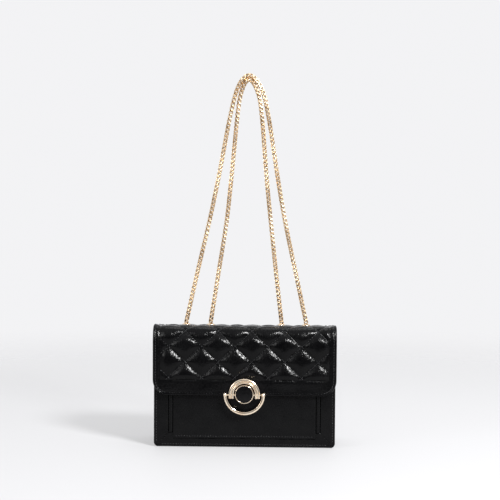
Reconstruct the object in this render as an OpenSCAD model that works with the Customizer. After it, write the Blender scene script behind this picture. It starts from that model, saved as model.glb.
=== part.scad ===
// Quilted crossbody purse with a front flap, a ring clasp and a sliding chain strap.
// +Z is up, the front faces -Y and the bag stands on z = 0.

/* [Body] */
// Width across the side gussets
body_w = 208; // [190:1:220]
// Depth from the clasp's foremost point to the back
total_d = 77; // [77:1:86]
// Height of the closed bag, without the eyelets and the chain
bag_h = 135; // [130:1:145]
// Thickness of the leather panels
leather_t = 1.6; // [1.4:0.1:1.8]
// Thickness of the stiffener boards in the walls
board_t = 1.2; // [0.8:0.1:1.4]
// Thickness of the lining fabric
lining_t = 0.6; // [0.4:0.1:0.6]
// Radius of the two lower corners seen from the front
corner_r = 5; // [4:0.5:7]

/* [Front pocket] */
// Half of the width of the slip pocket's panel
pocket_half_w = 82; // [70:1:86]
// Height of the pocket's bottom seam
pocket_z = 10; // [8:0.5:12]
// Height of the pocket's open top edge
pocket_top = 112; // [100:1:114]
// Width of the folded welt along each side of the pocket
welt_w = 5; // [4:0.5:6]
// Height where the welts end and the mitres begin
welt_z = 17; // [15:0.5:20]

/* [Flap] */
// Width of the flap
flap_w = 210; // [208:1:224]
// Height of the flap's lower edge
flap_z = 60; // [58:0.5:61]
// Radius of the flap's lower corners
flap_corner_r = 18; // [12:1:24]
// Outer radius of the fold along the top front edge
crest_r = 14; // [10:0.5:14]
// Outer radius of the turn along the top rear edge
rear_crest_r = 7; // [6:0.5:8]
// Distance of the flap's fold line behind the origin
hinge_y = 14; // [12:0.5:15]
// Thickness of the quilted leather
cover_t = 1.4; // [1.2:0.1:1.4]
// Thickness of the foam under the flap's quilting
padding_t = 1.8; // [1.6:0.1:1.8]

/* [Clasp] */
// Height of the clasp's centre
clasp_z = 62.5; // [62:0.25:64]
// Outer radius of the arch
arch_r = 18; // [17:0.25:18.5]
// Inner radius of the arch
arch_in_r = 12; // [11.8:0.1:12.5]
// Radius of the centre disc
disc_r = 11.15; // [10.5:0.05:11.4]
// Outer radius of the hanging half ring
ring_r = 23.5; // [23:0.25:24]
// Width of the half ring's band
ring_w = 3.5; // [3:0.1:3.6]
// Radius of the round knob at each end of the ring
knob_r = 2.4; // [2:0.1:2.5]
// Radius of the pin that the ring swings on
pin_r = 0.8; // [0.6:0.1:0.9]

/* [Chain] */
// Diameter of the chain's outline
chain_d = 4.6; // [4:0.1:4.8]
// Distance of the eyelets and the chain behind the origin
chain_y = 27.5; // [27:0.25:28]
// Distance of the outer eyelets from the middle
eyelet_out_x = 71; // [71:1:71]
// Distance of the inner eyelets from the middle
eyelet_in_x = 42; // [42:1:42]
// Radius of the hole through an eyelet
eyelet_hole_r = 3; // [2.8:0.1:3]
// Radius of an eyelet's flange
eyelet_r = 4.75; // [4.5:0.25:5]

/* [Zip pocket] */
// Half of the length of the zip
zip_half_l = 75; // [60:1:85]
// Height of the zip's middle line
zip_z = 92; // [85:1:96]
// Height of the zip pocket's bottom edge
zip_pocket_z = 30; // [20:1:40]

/* [Hidden] */
$fn = 64;

patent_black = [0.05, 0.05, 0.055];
lining_grey = [0.16, 0.15, 0.15];
board_grey = [0.45, 0.43, 0.4];
foam_grey = [0.6, 0.6, 0.6];
pale_gold = [0.86, 0.74, 0.55];
steel_grey = [0.6, 0.6, 0.62];

// Space kept between layers that touch
seam_gap = 0.05;
// Space kept between moving bodies
move_gap = 0.4;

// The flap stands behind the ring's knobs, and each layer is placed behind the last one
pin_h = knob_r + 0.5;
flap_y = -total_d / 2 + pin_h + knob_r;
flap_lining_t = 0.8;
flap_t = cover_t + padding_t + flap_lining_t;
welt_y = flap_y + flap_t + move_gap;
pocket_y = welt_y + 0.6;
pocket_t = 1.4;
pocket_gap = 1.6;
panel_y = pocket_y + pocket_t + pocket_gap;
front_board_y = panel_y + leather_t;
front_lining_y = front_board_y + board_t;
inside_front_y = front_lining_y + lining_t;

// The back is layered inwards from the quilted cover
back_y = total_d / 2;
rear_padding_t = 1.2;
back_panel_y = back_y - cover_t - rear_padding_t;
back_board_y = back_panel_y - leather_t;
back_lining_y = back_board_y - board_t;
inside_back_y = back_lining_y - lining_t;
yoke_z = 105;
yoke_corner_r = 10;
yoke_w = body_w + 2;

// The top is layered downwards
rear_board_z = bag_h - cover_t - rear_padding_t;
top_board_t = 1.6;
top_lining_z = rear_board_z - top_board_t;
washer_z = top_lining_z - lining_t;
front_drop = 4;
front_top = bag_h - flap_t - front_drop;

// The frame around the pocket
border_t = 2;
border_x = pocket_half_w + welt_w;
mitre_x = body_w / 2 - 1;

// The base is layered upwards
base_board_t = 1.8;
base_lining_z = leather_t + base_board_t;
inside_z = base_lining_z + lining_t;
wall_x = body_w / 2 - leather_t;
side_lining_x = wall_x - lining_t - 0.2;
lining_drop = 6;
lining_top = front_top - lining_drop;
board_inset = 2;
board_drop = 3;
layer_inset = 1.2;
// The gusset and the rear top strips keep clear of the fold line
gusset_gap = 1;
gusset_slope = 5;
strip_gap = 1.5;

// Clasp heights are measured out of the flap's face
arch_h = 4.4;
disc_h = 4.8;
inlay_depth = 0.7;
rim_w = 1.25;
ring_t = 3;
ring_bevel = 0.6;
ring_drop = 0.3;
leg_l = 4.8;
pin_drop = 0.8;
pin_half_l = ring_r - ring_w / 2 + 0.6;
running_gap = 0.05;
knob_end = 75;
knob_step = 15;
bore_gap = 0.12;
washer_t = 0.8;
rivet_r = 1.2;
rivet_spots = [[13.6, 6.3], [-13.6, 6.3], [0, 15], [0, 2]];
magnet_r = 7;
magnet_z = 96;
magnet_gap = 0.1;

// Chain: the strands turn about an axis just above the eyelets
eyelet_t = 1.2;
eyelet_washer_t = 0.6;
barrel_t = 0.6;
pivot_z = bag_h + eyelet_t + chain_d / 2 + move_gap;
eyelet_xs = [-eyelet_out_x, -eyelet_in_x, eyelet_in_x, eyelet_out_x];
tube_sides = 10;
rings_per_step = 2;

// Route points of the chain as [x, z], all in the upright plane through the eyelets
outer_route = [
    [-71, 138.9], [-57.5, 200], [-43.8, 260], [-33.2, 312], [-23.4, 366], [-19.4, 386],
    [-15.8, 402], [-11.6, 415], [-6, 425], [2, 430], [10, 425], [16.4, 415], [20.8, 402],
    [24, 386], [27.6, 366], [36, 312], [45, 260], [57.8, 200], [71, 138.9]
];
inner_route = [
    [-42, 138.9], [-32.6, 200], [-23.6, 260], [-18.2, 312], [-13.3, 366], [-11.4, 386],
    [-9.4, 401], [-6.8, 411.5], [-3.2, 420.5], [2, 425], [7.2, 420.5], [11.6, 411.5], [14.6, 401],
    [16.6, 386], [18.6, 366], [23, 312], [28.2, 260], [34.8, 200], [42, 138.9]
];
run_route = [
    [-14.5, 136.3], [-14.5, 127], [-12.8, 118], [-8, 111.5], [0, 109], [8, 111.5],
    [12.8, 118], [14.5, 127], [14.5, 136.3]
];

// Card pocket on the front lining
card_half_w = 52;
card_z = 38;
card_h = 56;
card_t = 0.8;

// Zip, seen from the bag's mouth
zip_y = inside_back_y - 2;
tape_w = 9;
tape_t = 0.6;
tooth_w = 2.4;
tooth_t = 1.6;
tooth_pitch = 3;
tooth_gap = 1.2;
tape_x = tooth_gap / 2 + tooth_w;
fold_h = 5;
slider_w = 8;
slider_h = 9;
plate_t = 0.8;
slider_gap = 0.25;
slider_x = -zip_half_l + 8;
slider_back_t = 0.6;
slider_nose = 2;
pouch_wall = 1;
zip_end = 6;
stop_w = 3;
stop_h = 6;
lug_out = 2.4;
lug_h = 1.8;
pull_l = 22;
pull_w = 6;
pull_t = 1;
pull_arm = 1.2;
pull_pin_r = 0.7;

// A plate from y0 to y1, cut to the shape given in the front view
module upright(y0, y1) {
    translate([0, y1, 0]) rotate([90, 0, 0]) linear_extrude(y1 - y0) children();
}

// A long piece with the cross-section given as [y, z]
module along_x(width) {
    rotate([90, 0, 90]) linear_extrude(width, center = true) children();
}

// Local z becomes the height in front of the flap's face
module on_flap() {
    translate([0, flap_y, clasp_z]) rotate([90, 0, 0]) children();
}

// Front view of a wall with two rounded lower corners
module wall_outline(half_w, z0, z1, r) {
    translate([-half_w, z0 + r]) square([2 * half_w, z1 - z0 - r]);
    translate([r - half_w, z0]) square([2 * (half_w - r), r + 1]);
    for (side = [-1, 1]) translate([side * (half_w - r), z0 + r]) circle(r);
}

// ---------------------------------------------------------------- body

module back_panel() {
    color(patent_black)
        upright(back_board_y, back_panel_y)
            wall_outline(body_w / 2, 0, bag_h - rear_crest_r, corner_r);
}

module front_panel() {
    color(patent_black)
        upright(panel_y, front_board_y) wall_outline(body_w / 2, 0, front_top, corner_r);
}

// Side view of the strip that joins front to back, lower in front of the fold line
module gusset_side() {
    y0 = front_board_y + seam_gap;
    y1 = back_board_y - seam_gap;
    polygon([
        [y0, 0], [y1, 0], [y1, top_lining_z - lining_t],
        [hinge_y + gusset_gap, top_lining_z - lining_t],
        [hinge_y + gusset_gap - gusset_slope, front_top], [y0, front_top]
    ]);
}

module gusset_strip() {
    intersection() {
        along_x(body_w) gusset_side();
        difference() {
            upright(panel_y, back_y) wall_outline(body_w / 2, 0, bag_h, corner_r);
            upright(panel_y - 1, back_y + 1)
                wall_outline(wall_x, leather_t, bag_h + 1, corner_r - leather_t);
        }
    }
}

module gusset(side) {
    x0 = body_w / 2 - corner_r;
    color(patent_black) intersection() {
        gusset_strip();
        translate([side > 0 ? x0 : -x0 - 2 * corner_r, -total_d, -1])
            cube([2 * corner_r, 2 * total_d, bag_h + 2]);
    }
}

module base_panel() {
    half = body_w / 2 - corner_r - seam_gap;
    color(patent_black) translate([-half, front_board_y + seam_gap, 0])
        cube([2 * half, back_board_y - front_board_y - 2 * seam_gap, leather_t]);
}

module base_board() {
    half = body_w / 2 - corner_r;
    color(board_grey) translate([-half, front_board_y + seam_gap, leather_t])
        cube([2 * half, back_board_y - front_board_y - 2 * seam_gap, base_board_t]);
}

// Stiffener inside the front or the back wall
module wall_board(y0, z1) {
    half = wall_x - board_inset;
    color(board_grey) translate([-half, y0, base_lining_z])
        cube([2 * half, board_t, z1 - base_lining_z]);
}

module front_board() wall_board(front_board_y, front_top - board_drop);

module back_board() wall_board(back_lining_y, top_lining_z - lining_t - seam_gap);

// ---------------------------------------------------------------- front pocket

module front_pocket() {
    color(patent_black) translate([-pocket_half_w, pocket_y, pocket_z])
        cube([2 * pocket_half_w, pocket_t, pocket_top - pocket_z]);
}

// The welt's crown is a true arc over a flat back
module welt(side) {
    x = side * (pocket_half_w + welt_w / 2);
    depth = panel_y - welt_y;
    color(patent_black) translate([x, panel_y, welt_z]) linear_extrude(pocket_top - welt_z)
        intersection() {
            translate([-welt_w / 2 + seam_gap, -depth]) square([welt_w - 2 * seam_gap, depth]);
            translate([0, welt_w - depth]) circle(welt_w);
        }
}

// The frame around the pocket is mitred from the welts down to the corners
module border(side) {
    color(patent_black) upright(panel_y - border_t, panel_y) intersection() {
        wall_outline(body_w / 2, 0, lining_top, corner_r);
        scale([side, 1]) polygon([
            [border_x, welt_z], [mitre_x, 0], [body_w, 0], [body_w, bag_h], [border_x, bag_h]
        ]);
    }
}

module base_border() {
    color(patent_black) upright(panel_y - border_t, panel_y) intersection() {
        wall_outline(body_w / 2, 0, bag_h, corner_r);
        polygon([
            [-mitre_x + seam_gap, 0], [mitre_x - seam_gap, 0],
            [border_x - seam_gap, welt_z - seam_gap], [pocket_half_w, welt_z - seam_gap],
            [pocket_half_w, pocket_z - seam_gap], [-pocket_half_w, pocket_z - seam_gap],
            [-pocket_half_w, welt_z - seam_gap], [-border_x + seam_gap, welt_z - seam_gap]
        ]);
    }
}

// ---------------------------------------------------------------- flap and rear cover

// Side view of what lies under the flap's surface at a depth, up to the fold line
module under_flap(depth) {
    r = crest_r - depth;
    front = flap_y + depth;
    top = bag_h - depth;
    translate([front, 0]) square([hinge_y - front, top - r]);
    translate([front + r, top - r - 1]) square([hinge_y - front - r, r + 1]);
    translate([front + r, top - r]) circle(r);
}

// Side view of what lies under the rear cover at a depth
module under_rear(depth) {
    r = rear_crest_r - depth;
    back = back_y - depth;
    top = bag_h - depth;
    translate([hinge_y, 0]) square([back - hinge_y, top - r]);
    translate([hinge_y, top - r - 1]) square([back - hinge_y - r, r + 1]);
    translate([back - r, top - r]) circle(r);
}

// One layer of the flap, between two depths
module flap_layer(depth0, depth1, inset) {
    intersection() {
        along_x(flap_w) difference() {
            under_flap(depth0);
            under_flap(depth1);
        }
        upright(-total_d, hinge_y - seam_gap)
            wall_outline(flap_w / 2 - inset, flap_z + inset, bag_h + 1, flap_corner_r - inset);
    }
}

// One layer of the rear cover, between two depths
module rear_layer(depth0, depth1, inset) {
    intersection() {
        along_x(yoke_w) difference() {
            under_rear(depth0);
            under_rear(depth1);
        }
        upright(hinge_y + seam_gap, total_d)
            wall_outline(yoke_w / 2 - inset, yoke_z + inset, bag_h + 1, yoke_corner_r - inset);
    }
}

module rivet_holes(depth0, depth1) {
    on_flap() for (spot = rivet_spots)
        translate([spot[0], spot[1], -depth1])
            cylinder(r = rivet_r + running_gap, h = depth1 - depth0);
}

module eyelet_holes(z0, z1) {
    for (x = eyelet_xs) translate([x, chain_y, z0])
        cylinder(r = eyelet_hole_r + barrel_t + running_gap, h = z1 - z0);
}

module flap_cover() {
    color(patent_black) difference() {
        flap_layer(0, cover_t, 0);
        rivet_holes(-1, cover_t + 1);
    }
}

module flap_padding() {
    depth1 = cover_t + padding_t;
    color(foam_grey) difference() {
        flap_layer(cover_t, depth1, layer_inset);
        rivet_holes(cover_t - 0.5, depth1 + 0.5);
        on_flap() translate([0, 0, -depth1 - 0.5]) linear_extrude(washer_t + 0.5)
            washer_shape(running_gap);
        flap_magnet_space(magnet_gap);
    }
}

module flap_lining() {
    color(lining_grey) flap_layer(cover_t + padding_t, flap_t, layer_inset);
}

module flap_magnet_space(gap) {
    translate([0, flap_y + cover_t + magnet_gap - gap, magnet_z]) rotate([-90, 0, 0])
        cylinder(r = magnet_r + gap, h = padding_t - 2 * magnet_gap + 2 * gap);
}

module flap_magnet() {
    color(steel_grey) flap_magnet_space(0);
}

// The matching plate sits behind the pocket's panel
module body_magnet() {
    color(steel_grey) translate([0, pocket_y + pocket_t, magnet_z]) rotate([-90, 0, 0])
        cylinder(r = magnet_r, h = pocket_gap - move_gap);
}

module rear_cover() {
    color(patent_black) difference() {
        rear_layer(0, cover_t, 0);
        eyelet_holes(rear_board_z, bag_h + 1);
    }
}

module rear_padding() {
    color(foam_grey) difference() {
        rear_layer(cover_t, cover_t + rear_padding_t, layer_inset);
        eyelet_holes(rear_board_z - 1, bag_h);
    }
}

// A flat strip under the rear part of the top
module top_strip(z0, z1) {
    difference() {
        translate([-wall_x, hinge_y + strip_gap, z0])
            cube([2 * wall_x, back_y - rear_crest_r - hinge_y - strip_gap, z1 - z0]);
        eyelet_holes(z0 - 1, z1 + 1);
    }
}

module top_board() {
    color(board_grey) top_strip(top_lining_z, rear_board_z);
}

module top_lining() {
    color(lining_grey) top_strip(washer_z, top_lining_z);
}

// ---------------------------------------------------------------- lining

module lining_wall(y0, z1) {
    color(lining_grey) translate([-side_lining_x, y0, base_lining_z])
        cube([2 * side_lining_x, lining_t, z1 - base_lining_z]);
}

module lining_front() lining_wall(front_lining_y, lining_top);

module lining_back() lining_wall(inside_back_y, washer_z - seam_gap);

module lining_side(side) {
    depth = inside_back_y - inside_front_y - 2 * seam_gap;
    x = side > 0 ? side_lining_x - lining_t : -side_lining_x;
    color(lining_grey) translate([x, inside_front_y + seam_gap, inside_z])
        cube([lining_t, depth, lining_top - inside_z]);
}

module lining_base() {
    depth = inside_back_y - inside_front_y - 2 * seam_gap;
    color(lining_grey) translate([-side_lining_x, inside_front_y + seam_gap, base_lining_z])
        cube([2 * side_lining_x, depth, lining_t]);
}

// An open patch pocket for cards on the front lining
module card_pocket() {
    color(lining_grey) translate([-card_half_w, inside_front_y, card_z])
        cube([2 * card_half_w, card_t, card_h]);
}

// ---------------------------------------------------------------- zip pocket

// A patch sewn on around its sides and bottom, with a fold above the zip that holds the upper tape
module zip_pocket() {
    front = zip_y - tape_t / 2;
    depth = inside_back_y - front;
    bottom_h = zip_z - tape_x - tape_w - zip_pocket_z;
    color(lining_grey) {
        difference() {
            translate([-zip_half_l, front, zip_pocket_z])
                cube([2 * zip_half_l, depth, bottom_h]);
            translate([pouch_wall - zip_half_l, front + tape_t, zip_pocket_z + pouch_wall])
                cube([2 * (zip_half_l - pouch_wall), depth, bottom_h]);
        }
        translate([-zip_half_l, front, zip_z + tape_x + tape_w])
            cube([2 * zip_half_l, depth, fold_h]);
    }
}

module zip_tapes() {
    color(patent_black) for (side = [-1, 1])
        translate([0, zip_y, zip_z + side * (tape_x + tape_w / 2)])
            cube([2 * zip_half_l, tape_t, tape_w], center = true);
}

module zip_teeth() {
    count = floor(2 * (zip_half_l - zip_end) / tooth_pitch);
    color(pale_gold) for (side = [-1, 1]) for (i = [0:count - 1])
        translate([
            zip_end - zip_half_l + i * tooth_pitch + (side > 0 ? tooth_pitch / 2 : 0),
            zip_y - tooth_t / 2,
            zip_z + side * (tooth_gap + tooth_w) / 2 - tooth_w / 2
        ])
            cube([tooth_pitch / 2, tooth_t, tooth_w]);
}

module zip_stops() {
    color(pale_gold) for (end = [-1, 1])
        translate([end * (zip_half_l - 2.5) - stop_w / 2, zip_y - tooth_t / 2, zip_z - stop_h / 2])
            cube([stop_w, tooth_t, stop_h]);
}

// Two plates joined by a thin bridge that runs between the rows of teeth, with a lug in front
module zip_slider() {
    front = zip_y - tooth_t / 2 - slider_gap - plate_t;
    back = zip_y + tooth_t / 2 + slider_gap;
    bridge = tooth_gap - 2 * slider_gap;
    color(pale_gold) difference() {
        union() {
            translate([slider_x, front, zip_z - slider_h / 2]) cube([slider_w, plate_t, slider_h]);
            translate([slider_x, back, zip_z - slider_h / 2])
                cube([slider_w, slider_back_t, slider_h]);
            translate([slider_x + slider_nose, front, zip_z - bridge / 2])
                cube([slider_w - 2 * slider_nose, back - front + slider_back_t / 2, bridge]);
            translate([slider_x + slider_nose, front - lug_out, zip_z - lug_h / 2])
                cube([slider_w - 2 * slider_nose, lug_out + 0.6, lug_h]);
        }
        translate([slider_x + slider_w / 2, front - lug_out / 2, zip_z - lug_h])
            cylinder(r = pull_pin_r + running_gap, h = 2 * lug_h);
    }
}

// The pull is a tab with an upright pin through the slider's lug
module zip_pull() {
    front = zip_y - tooth_t / 2 - slider_gap - plate_t;
    x = slider_x + slider_w / 2;
    y = front - lug_out / 2;
    pin_l = pull_w - 0.8;
    color(pale_gold) {
        translate([x, y, zip_z - pin_l / 2]) cylinder(r = pull_pin_r, h = pin_l);
        for (side = [-1, 1])
            translate([x - pull_l / 3, y - pull_t / 2, zip_z + side * 2 - pull_arm / 2])
                cube([pull_l / 3, pull_t, pull_arm]);
        translate([x - pull_l, y - pull_t / 2, zip_z - pull_w / 2])
            cube([pull_l * 2 / 3, pull_t, pull_w]);
    }
}

// ---------------------------------------------------------------- eyelets

module eyelets() {
    r0 = eyelet_hole_r;
    color(pale_gold) for (x = eyelet_xs) translate([x, chain_y, 0]) rotate_extrude()
        polygon([
            [r0, washer_z - eyelet_washer_t], [r0 + barrel_t, washer_z - eyelet_washer_t],
            [r0 + barrel_t, bag_h],
            [eyelet_r, bag_h], [eyelet_r, bag_h + 0.5], [eyelet_r - 0.5, bag_h + eyelet_t],
            [r0 + 0.3, bag_h + eyelet_t], [r0, bag_h + eyelet_t - 0.3]
        ]);
}

module eyelet_washers() {
    z = washer_z - eyelet_washer_t;
    color(pale_gold) difference() {
        for (x = eyelet_xs) translate([x, chain_y, z]) cylinder(r = eyelet_r, h = eyelet_washer_t);
        eyelet_holes(z - 1, z + 2);
    }
}

// ---------------------------------------------------------------- clasp

// Stepped section of the arch as [radius, height]
arch_section = [
    [arch_in_r, 0], [arch_r, 0], [arch_r, 3.2], [arch_r - 0.8, 4], [arch_in_r + 2.9, 4],
    [arch_in_r + 2.9, 3.4], [arch_in_r + 2.4, 3.4], [arch_in_r + 2.4, arch_h],
    [arch_in_r + 0.4, arch_h], [arch_in_r, arch_h - 0.4]
];

module pin_bore(half_l) {
    translate([-half_l, -pin_drop, pin_h]) rotate([0, 90, 0])
        cylinder(r = pin_r + bore_gap, h = 2 * half_l);
}

module clasp_arch() {
    color(pale_gold) on_flap() difference() {
        union() {
            rotate_extrude(angle = 180) polygon(arch_section);
            for (side = [0, 1]) mirror([side, 0, 0]) rotate([90, 0, 0])
                linear_extrude(leg_l) polygon(arch_section);
        }
        pin_bore(arch_r + 1);
    }
}

module clasp_disc() {
    color(pale_gold) on_flap() difference() {
        cylinder(r = disc_r, h = disc_h);
        translate([0, 0, disc_h - inlay_depth]) cylinder(r = disc_r - rim_w, h = 1);
        pin_bore(disc_r + 1);
    }
}

module clasp_inlay() {
    color(patent_black) on_flap() translate([0, 0, disc_h - inlay_depth])
        cylinder(r = disc_r - rim_w - seam_gap, h = inlay_depth - 0.2);
}

module clasp_pin() {
    color(pale_gold) on_flap() translate([-pin_half_l, -pin_drop, pin_h])
        rotate([0, 90, 0]) cylinder(r = pin_r, h = 2 * pin_half_l);
}

// A round knob as a stack of cones, turned about the pin's axis
module knob() {
    rotate([0, 90, 0]) rotate_extrude() polygon(concat(
        [[0, -knob_r * sin(knob_end)]],
        [for (a = [-knob_end:knob_step:knob_end]) knob_r * [cos(a), sin(a)]],
        [[0, knob_r * sin(knob_end)]]
    ));
}

// A half ring that hangs from two knobs with blind bores
module clasp_ring() {
    knob_x = ring_r - ring_w / 2;
    r0 = ring_r - ring_w;
    half_t = ring_t / 2;
    inner_t = half_t - ring_bevel;
    color(pale_gold) on_flap() difference() {
        union() {
            translate([0, -ring_drop, pin_h]) rotate_extrude(angle = 180, start = 180) polygon([
                [r0, -inner_t], [r0 + ring_bevel, -half_t], [ring_r - ring_bevel, -half_t],
                [ring_r, -inner_t], [ring_r, inner_t], [ring_r - ring_bevel, half_t],
                [r0 + ring_bevel, half_t], [r0, inner_t]
            ]);
            for (side = [-1, 1]) translate([side * knob_x, -pin_drop, pin_h]) knob();
        }
        pin_bore(pin_half_l + 0.2);
    }
}

// Half-round plate behind the clasp
module washer_shape(gap) {
    intersection() {
        circle(arch_r - 0.5 + gap);
        translate([-arch_r, -1 - gap]) square([2 * arch_r, 2 * arch_r]);
    }
}

module clasp_washer() {
    color(steel_grey) on_flap() translate([0, 0, -cover_t - padding_t])
        linear_extrude(washer_t - seam_gap) washer_shape(0);
}

module clasp_rivets() {
    length = cover_t + padding_t - washer_t;
    color(steel_grey) on_flap() for (spot = rivet_spots)
        translate([spot[0], spot[1], -length]) cylinder(r = rivet_r, h = length);
}

// ---------------------------------------------------------------- chain

// A point at t between p[i] and p[i + 1] on a smooth curve through all points
function curve_at(p, i, t) =
    let (n = len(p) - 1, a = p[max(i - 1, 0)], b = p[i], c = p[i + 1], d = p[min(i + 2, n)])
    0.5 * (2 * b + (c - a) * t + (2 * a - 5 * b + 4 * c - d) * t * t
        + (3 * b - a - 3 * c + d) * t * t * t);

function route_line(p) = [
    for (i = [0:len(p) - 2], k = [0:rings_per_step - 1]) curve_at(p, i, k / rings_per_step),
    p[len(p) - 1]
];

function across(p, i) =
    let (d = p[min(i + 1, len(p) - 1)] - p[max(i - 1, 0)]) [-d[1], d[0]] / norm(d);

// A tube along a route in the chain's plane, shifted sideways
module chain_tube(route, shift) {
    line = route_line(route);
    count = len(line);
    r = chain_d / 2;
    points = [
        for (i = [0:count - 1], k = [0:tube_sides - 1])
            let (a = 360 * k / tube_sides, n = across(line, i) * r * cos(a))
            [line[i][0] + n[0] + shift, chain_y + r * sin(a), line[i][1] + n[1]]
    ];
    sides = [
        for (i = [0:count - 2], k = [0:tube_sides - 1])
            let (a = i * tube_sides, m = (k + 1) % tube_sides)
            [a + k, a + tube_sides + k, a + tube_sides + m, a + m]
    ];
    first_cap = [for (k = [0:tube_sides - 1]) k];
    last_cap = [for (k = [tube_sides - 1:-1:0]) (count - 1) * tube_sides + k];
    polyhedron(points, concat(sides, [first_cap], [last_cap]));
}

run_shift = (eyelet_out_x + eyelet_in_x) / 2;

module chain_outer() {
    color(pale_gold) chain_tube(outer_route, 0);
}

module chain_inner() {
    color(pale_gold) chain_tube(inner_route, 0);
}

module chain_run(side) {
    color(pale_gold) chain_tube(run_route, side * run_shift);
}

back_panel();
front_panel();
gusset(-1);  // left_gusset
gusset(1);  // right_gusset
base_panel();
base_board();
front_board();
back_board();
front_pocket();
welt(-1);  // left_welt
welt(1);  // right_welt
border(-1);  // left_border
border(1);  // right_border
base_border();
rear_cover();
rear_padding();
top_board();
top_lining();
lining_front();
lining_back();
lining_base();
lining_side(-1);  // lining_left
lining_side(1);  // lining_right
card_pocket();
zip_pocket();
zip_tapes();
zip_teeth();
zip_stops();
zip_slider();
zip_pull();
eyelets();
eyelet_washers();
body_magnet();
flap_cover();
flap_padding();
flap_lining();
flap_magnet();
clasp_arch();
clasp_disc();
clasp_inlay();
clasp_pin();
clasp_ring();
clasp_washer();
clasp_rivets();
chain_outer();
chain_inner();
chain_run(-1);  // chain_run_left
chain_run(1);  // chain_run_right
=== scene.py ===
import math

import bmesh
import bpy
import numpy as np
from mathutils import Matrix, Vector


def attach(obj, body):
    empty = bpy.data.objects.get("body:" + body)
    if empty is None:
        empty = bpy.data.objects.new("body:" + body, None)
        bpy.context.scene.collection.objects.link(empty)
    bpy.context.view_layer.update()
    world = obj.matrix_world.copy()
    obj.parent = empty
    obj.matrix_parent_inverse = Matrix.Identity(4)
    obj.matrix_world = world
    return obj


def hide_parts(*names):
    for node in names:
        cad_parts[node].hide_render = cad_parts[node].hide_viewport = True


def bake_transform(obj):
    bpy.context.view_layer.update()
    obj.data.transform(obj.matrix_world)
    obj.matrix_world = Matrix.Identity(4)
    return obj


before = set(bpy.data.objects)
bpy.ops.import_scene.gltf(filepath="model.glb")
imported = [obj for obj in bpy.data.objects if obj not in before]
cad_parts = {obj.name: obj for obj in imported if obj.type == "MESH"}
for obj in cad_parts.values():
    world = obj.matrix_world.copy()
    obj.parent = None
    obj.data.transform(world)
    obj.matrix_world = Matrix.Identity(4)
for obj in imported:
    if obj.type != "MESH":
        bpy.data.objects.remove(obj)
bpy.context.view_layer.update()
MM = 0.001

# ---------------------------------------------------------------- camera
# A long portrait lens stands straight in front of the bag at the height of its strap, and looks
# down on it by a few degrees, so that a narrow strip of the top shows.
camera = bpy.data.objects.new("camera", bpy.data.cameras.new("camera"))
bpy.context.collection.objects.link(camera)
bpy.context.scene.camera = camera
lens_mm, film_mm, camera_distance = 86.76, 36, 1.4
looked_at = Vector((0.004694, 0, 0.22541))
camera.data.lens = lens_mm
camera.data.sensor_width = film_mm
azimuth, elevation, roll = (math.radians(a) for a in (-1.296, 2.612, 0.356))
forward = Vector((math.sin(azimuth) * math.cos(elevation),
                  math.cos(azimuth) * math.cos(elevation), -math.sin(elevation)))
right = forward.cross(Vector((0, 0, 1))).normalized()
up = right.cross(forward)
rolled_right = right * math.cos(roll) + up * math.sin(roll)
rolled_up = up * math.cos(roll) - right * math.sin(roll)
stand = looked_at - forward * camera_distance
camera.matrix_world = Matrix.Translation(stand) @ Matrix(
    (rolled_right, rolled_up, -forward)).transposed().to_4x4()

# ---------------------------------------------------------------- chain strap
# One box chain of plated square links makes the whole strap. It rises in a wide and a narrow arch
# from four eyelets, and two short runs of it hang inside the bag, between the eyelets of a pair.
chain_y = 27.5
link_pitch = 2.55
link_along, link_across, link_strip, link_width = 3.95, 4.9, 0.7, 2.7
link_steps, link_squareness, link_chamfer = 16, 3.4, 0.2
first_link, end_room, link_look, sway, sway_pace = 0.25, 0.2, 1, 0.3, 0.11
run_shift = 56.5
outer_route = [
    (-71, 138.9), (-57.5, 200), (-43.8, 260), (-33.2, 312), (-23.4, 366), (-19.4, 386),
    (-15.8, 402), (-11.6, 415), (-6, 425), (2, 430), (10, 425), (16.4, 415), (20.8, 402),
    (24, 386), (27.6, 366), (36, 312), (45, 260), (57.8, 200), (71, 138.9)]
inner_route = [
    (-42, 138.9), (-32.6, 200), (-23.6, 260), (-18.2, 312), (-13.3, 366), (-11.4, 386),
    (-9.4, 401), (-6.8, 411.5), (-3.2, 420.5), (2, 425), (7.2, 420.5), (11.6, 411.5),
    (14.6, 401), (16.6, 386), (18.6, 366), (23, 312), (28.2, 260), (34.8, 200), (42, 138.9)]
run_route = [
    (-14.5, 136.3), (-14.5, 127), (-12.8, 118), (-8, 111.5), (0, 109), (8, 111.5),
    (12.8, 118), (14.5, 127), (14.5, 136.3)]


def smooth_route(route, shift=0.0, per_step=10):
    """Close points of a smooth line through the route, in the upright plane of the eyelets."""
    p = np.array([route[0]] + list(route) + [route[-1]], float)
    t = np.linspace(0, 1, per_step, endpoint=False)[:, None]
    made = [0.5 * (2 * b + (c - a) * t + (2 * a - 5 * b + 4 * c - d) * t * t
                   + (3 * b - a - 3 * c + d) * t ** 3)
            for a, b, c, d in zip(p, p[1:], p[2:], p[3:])]
    flat = np.vstack(made + [p[-1:]])
    return np.column_stack([flat[:, 0] + shift, np.full(len(flat), chain_y), flat[:, 1]])


def length_along(path):
    """Distance of each point of a path from its start."""
    return np.concatenate([[0], np.cumsum(np.linalg.norm(np.diff(path, axis=0), axis=1))])


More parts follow.
